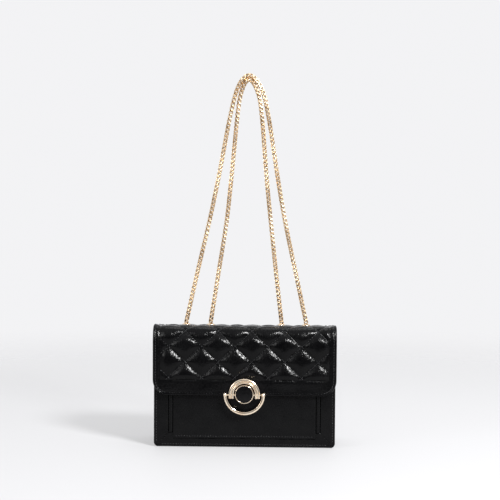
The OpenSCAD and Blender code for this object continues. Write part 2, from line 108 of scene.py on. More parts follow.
def make_piece(name, verts, faces, finish, body, material_slot, sharp=40, cut=None):
    """A mesh in millimetres becomes a named piece with its finish. It rides on a body, or, where it
    lies over the fold between the flap and the top, keeps its place with its transform baked in."""
    mesh = bpy.data.meshes.new(name)
    mesh.from_pydata((np.asarray(verts, float) * MM).tolist(), [],
                     [list(map(int, f)) for f in faces])
    if cut is not None:
        place = mesh.attributes.new("cut", "FLOAT_VECTOR", "POINT")
        place.data.foreach_set("vector", (np.asarray(cut, float) * MM).astype(np.float32).ravel())
    fix = bmesh.new()
    fix.from_mesh(mesh)
    bmesh.ops.recalc_face_normals(fix, faces=fix.faces)
    fix.to_mesh(mesh)
    fix.free()
    mesh.shade_smooth()
    mesh.set_sharp_from_angle(angle=math.radians(sharp))
    piece = bpy.data.objects.new(name, mesh)
    bpy.context.collection.objects.link(piece)
    mesh.materials.append(finish)
    if body == "fold":
        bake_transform(piece)
    else:
        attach(piece, body)
    return piece


def new_effect(name, inputs, outputs):
    """A shader node group with named inputs and outputs, and its two end nodes."""
    group = bpy.data.node_groups.new(name, "ShaderNodeTree")
    for label, kind, value in inputs:
        socket = group.interface.new_socket(label, in_out="INPUT", socket_type=kind)
        if kind != "NodeSocketVector":
            socket.default_value = value
    for label, kind in outputs:
        group.interface.new_socket(label, in_out="OUTPUT", socket_type=kind)
    return group, group.nodes.new("NodeGroupInput"), group.nodes.new("NodeGroupOutput")


def add_node(tree, kind, inputs=(), **settings):
    """One shader node; an input is either a value or the socket that feeds it."""
    made = tree.nodes.new("ShaderNode" + kind)
    for key, value in settings.items():
        setattr(made, key, value)
    for key, value in dict(inputs).items():
        if isinstance(value, bpy.types.NodeSocket):
            tree.links.new(value, made.inputs[key])
        else:
            made.inputs[key].default_value = value
    return made


def math_node(tree, operation, *values):
    """The result socket of one sum."""
    return add_node(tree, "Math", dict(enumerate(values)), operation=operation).outputs[0]


def ramp_node(tree, factor, stops):
    """The colour socket of a ramp with the stops given as (position, grey or colour)."""
    ramp = add_node(tree, "ValToRGB", {0: factor})
    elements = ramp.color_ramp.elements
    while len(elements) < len(stops):
        elements.new(0.5)
    for element, (position, tone) in zip(elements, stops):
        element.position = position
        element.color = (*tone, 1) if hasattr(tone, "__len__") else (tone, tone, tone, 1)
    return ramp.outputs[0]


def mix_colours(tree, factor, a, b, blend="MIX"):
    """The colour socket of two colours mixed."""
    mix = add_node(tree, "Mix", data_type="RGBA", blend_type=blend)
    for socket, value in ((0, factor), (6, a), (7, b)):
        if isinstance(value, bpy.types.NodeSocket):
            tree.links.new(value, mix.inputs[socket])
        else:
            mix.inputs[socket].default_value = value if socket == 0 else (*value, 1)
    return mix.outputs[2]


# Plated metal that is handled: the tone drifts a little, and fine rubbing marks run along the piece,
# duller in some places than in others.
plate_wear, wear_in, wear_out = new_effect(
    "plate_wear",
    [("Place", "NodeSocketVector", None), ("Bright", "NodeSocketColor", (1, 1, 1, 1)),
     ("Deep", "NodeSocketColor", (1, 1, 1, 1)), ("Smooth", "NodeSocketFloat", 0.2),
     ("Dull", "NodeSocketFloat", 0.35)],
    [("Colour", "NodeSocketColor"), ("Roughness", "NodeSocketFloat"),
     ("Height", "NodeSocketFloat")])
wear_cloud = add_node(plate_wear, "TexNoise", {"Vector": wear_in.outputs["Place"],
                                               "Scale": 170, "Detail": 5})
wear_grain = add_node(plate_wear, "TexNoise", {"Vector": wear_in.outputs["Place"],
                                               "Scale": 2600, "Detail": 3})
wear_rub = add_node(plate_wear, "Mapping", {"Vector": wear_in.outputs["Place"],
                                            "Scale": (1, 1, 9), "Rotation": (0.3, 0.5, 0)})
wear_lines = add_node(plate_wear, "TexNoise", {"Vector": wear_rub.outputs[0],
                                               "Scale": 1500, "Detail": 2})
wear_mask = ramp_node(plate_wear, wear_cloud.outputs["Fac"], [(0.42, 0), (0.66, 1)])
plate_wear.links.new(mix_colours(plate_wear, wear_mask, wear_in.outputs["Bright"],
                                 wear_in.outputs["Deep"]), wear_out.inputs["Colour"])
wear_rough = add_node(plate_wear, "MapRange", {
    "Value": wear_lines.outputs["Fac"], "From Min": 0.35, "From Max": 0.75,
    "To Min": wear_in.outputs["Smooth"], "To Max": wear_in.outputs["Dull"]})
plate_wear.links.new(wear_rough.outputs[0], wear_out.inputs["Roughness"])
plate_wear.links.new(math_node(plate_wear, "ADD", wear_grain.outputs["Fac"],
                               wear_lines.outputs["Fac"]), wear_out.inputs["Height"])


def new_finish(name, constants):
    """A material with one Principled shader, whose constant sockets are set here."""
    finish = bpy.data.materials.new(name)
    finish.use_nodes = True
    shader = finish.node_tree.nodes["Principled BSDF"]
    for socket, value in constants.items():
        shader.inputs[socket].default_value = value
    return finish, finish.node_tree, shader


def place_of(tree, from_cut):
    """Where a point lies: on the flat cut piece, or in the bag."""
    if from_cut:
        return add_node(tree, "Attribute", attribute_name="cut").outputs["Vector"]
    return add_node(tree, "TexCoord").outputs["Object"]


def use_effect(tree, shader, group, inputs, links, bump):
    """Places a group, joins its outputs to the shader, and turns its height into a bump."""
    effect = add_node(tree, "Group", node_tree=group)
    for key, value in inputs.items():
        if isinstance(value, bpy.types.NodeSocket):
            tree.links.new(value, effect.inputs[key])
        else:
            effect.inputs[key].default_value = value
    for output, socket in links.items():
        tree.links.new(effect.outputs[output], shader.inputs[socket])
    height = add_node(tree, "Bump", {"Height": effect.outputs["Height"], "Strength": 1.0,
                                     "Distance": bump})
    tree.links.new(height.outputs[0], shader.inputs["Normal"])
    return effect


def plated(name, bright, deep, smooth, dull, bump):
    """A metal finish from the wear effect."""
    finish, tree, shader = new_finish(name, {"Metallic": 1.0, "Specular IOR Level": 0.5})
    use_effect(tree, shader, plate_wear,
               {"Place": place_of(tree, False), "Bright": (*bright, 1), "Deep": (*deep, 1),
                "Smooth": smooth, "Dull": dull},
               {"Colour": "Base Color", "Roughness": "Roughness"}, bump)
    return finish


chain_gold = plated("chain_gold", (0.80, 0.62, 0.41), (0.50, 0.35, 0.20), 0.28, 0.5, 0.00004)


def link_mesh():
    """Points and faces of one link, with the chain along the first axis."""
    power = 2 / link_squareness
    turn = np.linspace(0, 2 * math.pi, link_steps, endpoint=False)
    half_along = (link_along - link_strip) / 2
    half_across = (link_across - link_strip) / 2
    line = np.column_stack([
        half_along * np.sign(np.cos(turn)) * np.abs(np.cos(turn)) ** power,
        half_across * np.sign(np.sin(turn)) * np.abs(np.sin(turn)) ** power])
    ahead = np.roll(line, -1, 0) - np.roll(line, 1, 0)
    out = np.column_stack([ahead[:, 1], -ahead[:, 0]])
    out /= np.linalg.norm(out, axis=1)[:, None]
    t, w, e = link_strip / 2, link_width / 2, link_chamfer
    section = [(t, w - e), (t - e, w), (e - t, w), (-t, w - e),
               (-t, e - w), (e - t, -w), (t - e, -w), (t, e - w)]
    verts = [(*(line[i] + out[i] * a), b) for i in range(link_steps) for a, b in section]
    n = len(section)
    faces = [(i * n + j, i * n + (j + 1) % n,
              (i + 1) % link_steps * n + (j + 1) % n, (i + 1) % link_steps * n + j)
             for i in range(link_steps) for j in range(n)]
    return np.array(verts), np.array(faces)


def chain_of_links(name, route, shift, body, node, lay):
    """A chain that follows a route from the CAD, with each link turned against the last one."""
    path = smooth_route(route, shift)
    run = length_along(path)
    link, link_faces = link_mesh()
    verts, faces = [], []
    count = int((run[-1] - end_room) / link_pitch) + 1
    pitch = run[-1] / count if lay == "taut" else link_pitch
    start = 0.0 if lay == "taut" else first_link
    for k in range(count + 1 if lay == "taut" else count):
        at = min(start + k * pitch, run[-1])
        here = np.array([np.interp(at, run, path[:, i]) for i in range(3)])
        a, b = max(at - link_look, 0), min(at + link_look, run[-1])
        ahead = np.array([np.interp(b, run, path[:, i]) - np.interp(a, run, path[:, i])
                          for i in range(3)])
        ahead /= np.linalg.norm(ahead)
        across = np.array([0.0, 1.0, 0.0])
        third = np.cross(ahead, across)
        turn = math.pi / 4 + k * math.pi / 2 + sway * math.sin(k * sway_pace)
        side = across * math.cos(turn) + third * math.sin(turn)
        wide = third * math.cos(turn) - across * math.sin(turn)
        verts.append(here + link[:, :1] * ahead + link[:, 1:2] * side + link[:, 2:] * wide)
        faces.append(link_faces + k * len(link))
    chain = make_piece(name, np.vstack(verts), np.vstack(faces), chain_gold, body, "chain")
    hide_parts(node)
    return chain


chain_of_links("outer_chain_links", outer_route, 0, "strap", "chain_outer", "taut")
chain_of_links("inner_chain_links", inner_route, 0, "strap", "chain_inner", "taut")
chain_of_links("left_run_links", run_route, -run_shift, "root", "chain_run_left", "hanging")
chain_of_links("right_run_links", run_route, run_shift, "root", "chain_run_right", "hanging")

# ---------------------------------------------------------------- studio
# A pale table top that fades into a pale room, with a large soft light high on the right, a weak
# one on the left, and a dimmer room behind the camera.
floor_half, floor_z = 1.6, -0.0002
pale = (0.895, 0.895, 0.91)
floor_mesh = bpy.data.meshes.new("table_top")
floor_mesh.from_pydata([(x * floor_half, y * floor_half, floor_z)
                        for x, y in ((-1, -1), (1, -1), (1, 1), (-1, 1))], [], [(0, 1, 2, 3)])
floor = bpy.data.objects.new("table_top", floor_mesh)
bpy.context.collection.objects.link(floor)
floor_finish, floor_tree, floor_shader = new_finish(
    "table_top", {"Base Color": (0.24, 0.24, 0.247, 1), "Roughness": 0.65,
                  "Specular IOR Level": 0.2, "Emission Color": (1, 1, 1, 1),
                  "Emission Strength": 0.385})
floor_place = place_of(floor_tree, False)
floor_far = add_node(floor_tree, "VectorMath", {0: floor_place}, operation="LENGTH")
floor_fade = add_node(floor_tree, "MapRange", {"Value": floor_far.outputs["Value"],
                                               "From Min": 0.35, "From Max": 1.3},
                      interpolation_type="SMOOTHSTEP")
floor_split = add_node(floor_tree, "SeparateXYZ", {0: floor_place})
floor_front = add_node(floor_tree, "MapRange", {"Value": floor_split.outputs["Y"],
                                                "From Min": -0.27, "From Max": -0.5})
floor_gone = math_node(floor_tree, "MAXIMUM", floor_fade.outputs[0], floor_front.outputs[0])
floor_clear = add_node(floor_tree, "BsdfTransparent")
floor_mix = add_node(floor_tree, "MixShader", {0: floor_gone,
                                               1: floor_shader.outputs[0],
                                               2: floor_clear.outputs[0]})
floor_tree.links.new(floor_mix.outputs[0], floor_tree.nodes["Material Output"].inputs[0])
floor_mesh.materials.append(floor_finish)

room = bpy.data.worlds.new("room")
bpy.context.scene.world = room
room.use_nodes = True
room_tree = room.node_tree
room_place = add_node(room_tree, "TexCoord").outputs["Generated"]
room_split = add_node(room_tree, "SeparateXYZ", {0: room_place})
room_level = math_node(room_tree, "MULTIPLY_ADD", room_split.outputs["Y"], 0.5, 0.5)
room_tone = ramp_node(room_tree, math_node(room_tree, "MULTIPLY_ADD",
                                           room_split.outputs["Z"], 0.45, room_level),
                      [(0.0, (0.13, 0.13, 0.135)), (0.12, (0.16, 0.16, 0.165)),
                       (0.36, (0.6, 0.6, 0.61)), (0.62, pale)])
room_seen = add_node(room_tree, "LightPath").outputs["Is Camera Ray"]
room_tree.links.new(mix_colours(room_tree, room_seen, room_tone, pale),
                    room_tree.nodes["Background"].inputs["Color"])

lit_place = Vector((0, 0, 0.1))
for name, spot, size, power in (("key_light", (0.95, -1.1, 1.15), 0.42, 58),
                                ("fill_light", (-1.3, -0.9, 0.7), 0.7, 6),
                                ("top_light", (0.1, 0.3, 1.6), 0.9, 6)):
    lamp = bpy.data.objects.new(name, bpy.data.lights.new(name, "AREA"))
    lamp.data.shape = "DISK"
    lamp.data.size = size
    lamp.data.energy = power
    lamp.location = spot
    lamp.rotation_euler = (lit_place - Vector(spot)).to_track_quat("-Z", "Y").to_euler()
    bpy.context.collection.objects.link(lamp)
bpy.context.scene.view_settings.view_transform = "Standard"

# ---------------------------------------------------------------- quilted cover
# One piece of crinkled patent leather, quilted over foam in diamonds with a plain turned edge. It
# starts at the back, runs over the top and hangs down in front as the flap.
flap_front_y, flap_edge_z, bag_top = -33.2, 60.0, 135.0
crest_r, rear_crest_r, rear_y, yoke_z = 14.0, 7.0, 38.5, 105.0
flap_half, yoke_half, flap_corner, yoke_corner = 105.0, 105.0, 18.0, 10.0
fold_y = 14.0
front_run = bag_top - crest_r - flap_edge_z
crest_run, rear_crest_run = crest_r * math.pi / 2, rear_crest_r * math.pi / 2
top_start = front_run + crest_run
top_end = top_start + rear_y - rear_crest_r - flap_front_y - crest_r
cover_run = top_end + rear_crest_run + bag_top - rear_crest_r - yoke_z
fold_s = top_start + fold_y - flap_front_y - crest_r
eyelet_s = top_start + chain_y - flap_front_y - crest_r
# The diamonds, one of their corners, and how far they swell and their seams sink.
diamond_w, diamond_h, quilt_x, quilt_s = 38.0, 35.5, -11.0, 21.0
swell_h, swell_power, seam_sink, seam_soft, pucker_h = 3.7, 3.0, 0.9, 0.9, 0.28
# The seam round the diamonds lies this far from the sides and back, and from the flap's edge.
frame_side, frame_low, edge_inset = 8, 18, 3.2
crest_rise, crest_corner, top_sink, fold_soft = 3.8, 1.0, 1.2, 6.5
# The leather lies flat under the eyelets and the clasp.
eyelet_xs, eyelet_hole_r, eyelet_flat_r = (-71, -42, 42, 71), 3.4, 4.5
clasp_z, clasp_flat_r, clasp_clear_r = 62.5, 18, 27


def cover_line(s):
    """Point and outward direction on the cover's side view, at a distance from the flap's edge."""
    s = np.atleast_1d(np.asarray(s, float))
    y, z = np.full(s.shape, flap_front_y), flap_edge_z + s
    ny, nz = np.full(s.shape, -1.0), np.zeros(s.shape)
    turn = (s - front_run) / crest_r
    m = s > front_run
    y[m], z[m] = (flap_front_y + crest_r - crest_r * np.cos(turn[m]),
                  bag_top - crest_r + crest_r * np.sin(turn[m]))
    ny[m], nz[m] = -np.cos(turn[m]), np.sin(turn[m])
    m = s > top_start
    y[m], z[m], ny[m], nz[m] = flap_front_y + crest_r + s[m] - top_start, bag_top, 0, 1
    turn = (s - top_end) / rear_crest_r
    m = s > top_end
    y[m], z[m] = (rear_y - rear_crest_r + rear_crest_r * np.sin(turn[m]),
                  bag_top - rear_crest_r + rear_crest_r * np.cos(turn[m]))
    ny[m], nz[m] = np.sin(turn[m]), np.cos(turn[m])
    m = s > top_end + rear_crest_run
    y[m], z[m] = rear_y, bag_top - rear_crest_r - (s[m] - top_end - rear_crest_run)
    ny[m], nz[m] = 1, 0
    zero = np.zeros(s.shape)
    return np.column_stack([zero, y, z]), np.column_stack([zero, ny, nz])


def ripple(u, v, cell_u, cell_v, seed):
    """Smooth random height from -1 to 1, with hills of the given size in millimetres."""
    wide, tall, offset_x, offset_y = 97, 89, 311, 277
    table = np.random.default_rng(seed).random((wide, tall)) * 2 - 1
    x, y = u / cell_u + offset_x, v / cell_v + offset_y
    x0, y0 = np.floor(x).astype(int), np.floor(y).astype(int)
    fx, fy = x - x0, y - y0
    fx, fy = fx * fx * (3 - 2 * fx), fy * fy * (3 - 2 * fy)
    low, high = (table[x0 % wide, row % tall] * (1 - fx) + table[(x0 + 1) % wide, row % tall] * fx
                 for row in (y0, y0 + 1))
    return low * (1 - fy) + high * fy


def steps(x, low, high):
    """Smooth step from 0 to 1 between low and high."""
    t = np.clip((x - low) / (high - low), 0, 1)
    return t * t * (3 - 2 * t)


def creases(u, v, seed):
    """The fine standing creases of crinkled patent leather, in millimetres."""
    bend = u + 1.6 * ripple(u, v, 9, 14, seed + 1)
    fold = 1 - np.abs(ripple(bend, v, 3.2, 11, seed))
    small = 1 - np.abs(ripple(bend, v, 1.7, 5, seed + 2))
    patch = 0.55 + 0.45 * ripple(u, v, 17, 21, seed + 3)
    return (0.09 * fold ** 5 + 0.04 * small ** 4) * patch + 0.16 * ripple(u, v, 13, 19, seed + 4)


def cover_half(s):
    """Half width of the cover, with the flap's and the yoke's rounded corners."""
    s = np.asarray(s, float)
    half = flap_half + (yoke_half - flap_half) * steps(s, fold_s - 12, fold_s + 8)
    c = np.clip((flap_corner - s) / flap_corner, 0, 1)
    half = half - flap_corner * (1 - np.sqrt(1 - c * c))
    c = np.clip((yoke_corner - (cover_run - s)) / yoke_corner, 0, 1)
    return half - yoke_corner * (1 - np.sqrt(1 - c * c))


def quilt_relief(s, x):
    """Height of the quilted leather over its base line, in millimetres: diamonds between two sets
    of crossing seams, a plain turned edge round them, and a crest where the flap turns down."""
    p, q = (x - quilt_x) / (diamond_w / 2), (s - quilt_s) / (diamond_h / 2)
    a, b = (p + q) / 2, (p - q) / 2
    per_mm = math.hypot(1 / diamond_w, 1 / diamond_h)
    wander = 0.35 * ripple(x, s, 7, 7, 41)
    da = np.abs(a - np.round(a)) / per_mm + 0.3 * wander
    db = np.abs(b - np.round(b)) / per_mm - 0.3 * wander
    da, db = np.maximum(da, 0), np.maximum(db, 0)
    cell = np.round(a + 0.5) * 7 + np.round(b + 0.5) * 13
    fullness = 1 + 0.08 * np.sin(cell * 2.1)
    swell = swell_h * fullness
    for d in (da, db):
        swell = swell * (1 - (1 - np.clip(d * 2 * per_mm, 0, 1)) ** swell_power)
    side = np.minimum(cover_half(s) - np.abs(x), 40)
    ends = np.minimum(s - frame_low, cover_run - frame_side - s)
    inside = steps(side, frame_side, frame_side + 6) * steps(ends, 0, 6)
    frame_seam = np.exp(-((side - frame_side) / seam_soft) ** 2) * steps(ends, -2, 2)
    frame_seam = np.maximum(frame_seam, np.exp(-(ends / seam_soft) ** 2) * steps(side, 6, 9))
    pucker = (np.exp(-da / 2.6) + np.exp(-db / 2.6)) * pucker_h * ripple(x, s, 1.9, 1.9, 42)
    quilted = -seam_sink + swell * (1 - 0.5 * steps(s, front_run + 4, top_start)) + pucker
    edge = np.minimum(side, np.minimum(s, cover_run - s))
    plain = (0.25 + 0.5 * np.exp(-((edge - edge_inset / 2 - 0.1) / 1.1) ** 2)
             - 0.45 * np.exp(-((edge - edge_inset) / 0.5) ** 2))
    low_band = steps(17 - s, 0, 12)
    plain = plain + 0.35 * low_band * ripple(x, s, 24, 9, 43)
    height = plain * (1 - inside) + quilted * inside - seam_sink * frame_seam
    height = height + creases(x, s, 51)
    flat = 1 - steps(np.hypot(x, flap_edge_z + s - clasp_z), clasp_flat_r, clasp_clear_r)
    flat = flat * (s < front_run)
    height = height * (1 - flat) - 0.15 * flat
    to_eyelet = np.min([np.hypot(x - at, s - eyelet_s) for at in eyelet_xs], axis=0)
    level = 1 - steps(to_eyelet, eyelet_flat_r, 2 * eyelet_flat_r)
    height = height * (1 - level)
    past = s - top_start + 3
    crest = ((crest_rise + crest_corner * steps(frame_side - side, 0, 5))
             * np.exp(-(past / np.where(past < 0, 9.0, 26.0)) ** 2))
    sunk = top_sink * steps(s, fold_s - 20, fold_s - 4) * steps(top_end + 5 - s, 0, 8)
    fold = np.exp(-((s - fold_s + 3) / fold_soft) ** 2)
    return (height + crest) * (1 - 0.6 * fold) - 0.25 * fold - sunk * (1 - level)


def sew_panel(name, spine, facing, across, low, high, relief, depth, finish, body,
              material_slot, spacing=1.0, holes=(), rim=1.0, run=None, gap=None):
    """A cut panel with rounded edges as a closed mesh. Rows follow the spine, columns go across.
    Also returns a function that finds points on its outer face."""
    spine, facing, across = (np.asarray(v, float) for v in (spine, facing, across))
    run = length_along(spine) if run is None else np.asarray(run, float)
    rows = len(spine)
    facing = np.broadcast_to(facing, spine.shape)
    low = np.broadcast_to(np.asarray(low, float), (rows,))
    high = np.broadcast_to(np.asarray(high, float), (rows,))
    widest = float(np.max(high - low))
    rim_at = [0, 0.12 * rim, 0.4 * rim, rim]
    middle = max(int((widest - 2 * rim) / spacing), 2)
    u = np.concatenate([rim_at[:-1], np.linspace(rim, widest - rim, middle + 1),
                        [widest - r for r in rim_at[-2::-1]]]) / widest
    a = low[:, None] + (high - low)[:, None] * u[None, :]
    s = np.repeat(run[:, None], len(u), 1)

    def drop(s, a, low, high):
        edge = np.minimum(np.minimum(a - low, high - a), np.minimum(s - run[0], run[-1] - s))
        return rim - np.sqrt(np.maximum(rim ** 2 - np.maximum(rim - edge, 0) ** 2, 0))

    fall = drop(s, a, low[:, None], high[:, None])
    outer_h = relief(s, a) - fall
    thick = depth(s, a) if callable(depth) else np.full(s.shape, float(depth))
    inner_h = -thick + np.minimum(fall, 0.3 * thick)
    outer_h = np.maximum(outer_h, inner_h + 0.15)
    base = spine[:, None, :] + across[None, None, :] * a[:, :, None]
    outer = base + facing[:, None, :] * outer_h[:, :, None]
    inner = base + facing[:, None, :] * inner_h[:, :, None]
    columns = len(u)
    verts = np.concatenate([outer.reshape(-1, 3), inner.reshape(-1, 3)])
    cut = np.column_stack([a.ravel(), s.ravel(), np.zeros(a.size)])
    cut = np.concatenate([cut, cut + (0, 0, 5)])
    keep = np.ones((rows - 1, columns - 1), bool)
    for hole_s, hole_a, hole_r in holes:
        mid_s = (s[:-1, :-1] + s[1:, 1:]) / 2
        mid_a = (a[:-1, :-1] + a[1:, 1:]) / 2
        keep &= np.hypot(mid_s - hole_s, mid_a - hole_a) > hole_r
    if gap:
        mid_a = (a[:-1, :-1] + a[1:, 1:]) / 2
        keep &= (mid_a < gap[0]) | (mid_a > gap[1])
    index = np.arange(rows * columns).reshape(rows, columns)
    size = rows * columns
    i0, i1, i2, i3 = index[:-1, :-1], index[:-1, 1:], index[1:, 1:], index[1:, :-1]
    quads = np.stack([i0, i1, i2, i3], -1)[keep]
    faces = [quads, quads[:, ::-1] + size]
    framed = np.pad(keep, 1)
    for p, q, beyond in ((i0, i1, framed[:-2, 1:-1]), (i2, i3, framed[2:, 1:-1]),
                         (i3, i0, framed[1:-1, :-2]), (i1, i2, framed[1:-1, 2:])):
        open_edge = keep & ~beyond
        faces.append(np.stack([q[open_edge], p[open_edge], p[open_edge] + size,
                               q[open_edge] + size], -1))
    faces = np.concatenate(faces)
    used = np.unique(faces)
    renumber = np.full(2 * size, -1)
    renumber[used] = np.arange(len(used))
    piece = make_piece(name, verts[used], renumber[faces], finish, body, material_slot,
                       sharp=55, cut=cut[used])

    def on_face(s, a, lift=0.0):
        s, a = np.asarray(s, float), np.asarray(a, float)
        lo, hi = np.interp(s, run, low), np.interp(s, run, high)
        out = np.column_stack([np.interp(s, run, facing[:, i]) for i in range(3)])
        at = np.column_stack([np.interp(s, run, spine[:, i]) for i in range(3)])
        height = relief(s, a) - drop(s, a, lo, hi) + lift
        return at + across[None, :] * a[:, None] + out * height[:, None], out

    return piece, on_face


# Crinkled patent leather: a clear lacquer over black leather, with long standing creases, a fine
# net of crackle between them, and a lacquer that is duller in the creases.
crinkle, crinkle_in, crinkle_out = new_effect(
    "patent_crinkle",
    [("Place", "NodeSocketVector", None), ("Crease", "NodeSocketFloat", 330.0),
     ("Gloss", "NodeSocketFloat", 0.16), ("Dull", "NodeSocketFloat", 0.4)],
    [("Colour", "NodeSocketColor"), ("Roughness", "NodeSocketFloat"),
     ("Height", "NodeSocketFloat")])
crinkle_warp = add_node(crinkle, "TexNoise", {"Vector": crinkle_in.outputs["Place"],
                                              "Scale": 160, "Detail": 3}, normalize=True)
crinkle_push = add_node(crinkle, "VectorMath", {0: crinkle_warp.outputs["Color"], 1: (0.5, 0.5, 0.5)},
                        operation="SUBTRACT")
crinkle_small = add_node(crinkle, "VectorMath", {0: crinkle_push.outputs[0],
                                                 1: (0.006, 0.006, 0)}, operation="MULTIPLY")
crinkle_sum = add_node(crinkle, "VectorMath", {0: crinkle_in.outputs["Place"],
                                               1: crinkle_small.outputs[0]}, operation="ADD")
crinkle_long = add_node(crinkle, "VectorMath", {0: crinkle_sum.outputs[0], 1: (1, 0.38, 1)},
                        operation="MULTIPLY")
crinkle_net = add_node(crinkle, "TexVoronoi", {"Vector": crinkle_long.outputs[0],
                                               "Scale": crinkle_in.outputs["Crease"]},
                       feature="DISTANCE_TO_EDGE")
crinkle_lines = add_node(crinkle, "TexNoise", {"Vector": crinkle_long.outputs[0],
                                               "Scale": 620, "Detail": 4, "Roughness": 0.6})
crinkle_fine = add_node(crinkle, "TexNoise", {"Vector": crinkle_sum.outputs[0],
                                              "Scale": 2400, "Detail": 3})
crinkle_patch = add_node(crinkle, "TexNoise", {"Vector": crinkle_in.outputs["Place"],
                                               "Scale": 60, "Detail": 2})
crinkle_fold = ramp_node(crinkle, crinkle_net.outputs["Distance"], [(0.0, 0), (0.12, 1)])
crinkle_step = math_node(crinkle, "MULTIPLY", crinkle_fold, 0.55)
crinkle_step2 = math_node(crinkle, "MULTIPLY_ADD", crinkle_lines.outputs["Fac"], 0.9, crinkle_step)
crinkle_step3 = math_node(crinkle, "MULTIPLY_ADD", crinkle_fine.outputs["Fac"], 0.12,
                          crinkle_step2)
crinkle.links.new(crinkle_step3, crinkle_out.inputs["Height"])
crinkle_dull = add_node(crinkle, "MapRange", {
    "Value": crinkle_fold, "From Min": 0, "From Max": 1,
    "To Min": crinkle_in.outputs["Dull"], "To Max": crinkle_in.outputs["Gloss"]})
crinkle_vary = math_node(crinkle, "MULTIPLY_ADD", crinkle_patch.outputs["Fac"], 0.14,
                         crinkle_dull.outputs[0])
crinkle.links.new(math_node(crinkle, "SUBTRACT", crinkle_vary, 0.05),
                  crinkle_out.inputs["Roughness"])
crinkle.links.new(ramp_node(crinkle, crinkle_patch.outputs["Fac"],
                            [(0.3, (0.0012, 0.0012, 0.0014)), (0.7, (0.0026, 0.0026, 0.0028))]),
                  crinkle_out.inputs["Colour"])


def patent(name, crease, gloss, dull, bump):
    """A patent leather finish, laid out on the cut piece."""
    finish, tree, shader = new_finish(name, {"IOR": 1.33, "Specular IOR Level": 0.25})
    use_effect(tree, shader, crinkle, {"Place": place_of(tree, True), "Crease": crease,
                                       "Gloss": gloss, "Dull": dull},
               {"Colour": "Base Color", "Roughness": "Roughness"}, bump)
    return finish


quilt_patent = patent("quilted_patent", 380, 0.12, 0.26, 0.00013)
body_patent = patent("body_patent", 420, 0.20, 0.34, 0.00008)

corner_turn = np.linspace(0, math.pi / 2, 15)[:-1]
cover_rows = np.concatenate([
    flap_corner * (1 - np.cos(corner_turn)),
    np.linspace(flap_corner, cover_run - yoke_corner, 186),
    cover_run - yoke_corner * (1 - np.cos(np.linspace(math.pi / 2, 0, 10)[1:]))])
cover_spine, cover_facing = cover_line(cover_rows)
cover_width = cover_half(cover_rows)
quilted_cover, on_cover = sew_panel(
    "quilted_cover", cover_spine, cover_facing, (1, 0, 0), -cover_width, cover_width,
    quilt_relief, lambda s, a: 3.2 - 0.6 * steps(s, fold_s - 6, fold_s + 1), quilt_patent,
    "fold", "quilted_leather", spacing=0.85, rim=1.5, run=cover_rows,
    holes=[(eyelet_s, x, eyelet_hole_r) for x in eyelet_xs])
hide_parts("flap_cover", "flap_padding", "rear_cover", "rear_padding")

# ---------------------------------------------------------------- sewing thread
# Bonded black thread holds the quilting and runs as a topstitch along every edge. Each stitch is a
# short tight arc that dives into the leather at both ends.
thread_finish, thread_tree, thread_shader = new_finish(
    "bonded_thread", {"Base Color": (0.012, 0.012, 0.013, 1), "IOR": 1.45})
thread_twist = add_node(thread_tree, "TexWave", {"Vector": place_of(thread_tree, False),
                                                 "Scale": 900, "Distortion": 2.0},
                        bands_direction="DIAGONAL")
thread_tree.links.new(ramp_node(thread_tree, thread_twist.outputs["Fac"],
                                [(0.2, 0.3), (0.8, 0.5)]), thread_shader.inputs["Roughness"])
thread_tree.links.new(add_node(thread_tree, "Bump", {
    "Height": thread_twist.outputs["Fac"], "Distance": 0.00008}).outputs[0],
    thread_shader.inputs["Normal"])
thread_tree.links.new(ramp_node(thread_tree, thread_twist.outputs["Fac"],
                                [(0.1, (0.006, 0.006, 0.007)), (0.9, (0.03, 0.03, 0.032))]),
                      thread_shader.inputs["Base Color"])


def stitch(name, lines, body, material_slot, pitch=3.1, thread=0.28, finish=thread_finish):
    """Stitches along lines given as (points, outward directions); one piece for all of them."""
    share = np.array([0, 0.13, 0.5, 0.87, 1])
    swell = np.array([0.45, 0.9, 1.0, 0.9, 0.45]) * thread
    lift = np.array([-0.6, 0.25, 0.45, 0.25, -0.6]) * thread
    laid = 0.78
    n = 6
    turn = np.linspace(0, 2 * math.pi, n, endpoint=False)
    verts, faces = [], []
    ring = np.array([(i * n + j, i * n + (j + 1) % n, (i + 1) * n + (j + 1) % n, (i + 1) * n + j)
                     for i in range(len(share) - 1) for j in range(n)])
    for points, outward in lines:
        run = length_along(points)
        count = max(int(run[-1] / pitch), 1)
        step = run[-1] / count
        for k in range(count):
            at = k * step + share * step * laid
            here = np.column_stack([np.interp(at, run, points[:, i]) for i in range(3)])
            out = np.column_stack([np.interp(at, run, outward[:, i]) for i in range(3)])
            ahead = here[-1] - here[0]
            ahead /= np.linalg.norm(ahead)
            aside = np.cross(ahead, out[2])
            aside /= np.linalg.norm(aside)
            up_here = np.cross(aside, ahead)
            base = n * len(share) * len(verts)
            verts.append((here[:, None, :] + up_here * lift[:, None, None]
                          + swell[:, None, None] * (aside * np.cos(turn)[None, :, None]
                                                    + up_here * np.sin(turn)[None, :, None])
                          ).reshape(-1, 3))
            faces += (ring + base).tolist()
            faces += [list(range(base, base + n))[::-1],
                      list(range(base + n * (len(share) - 1), base + n * len(share)))]
    return make_piece(name, np.vstack(verts), faces, finish, body, material_slot, sharp=80)


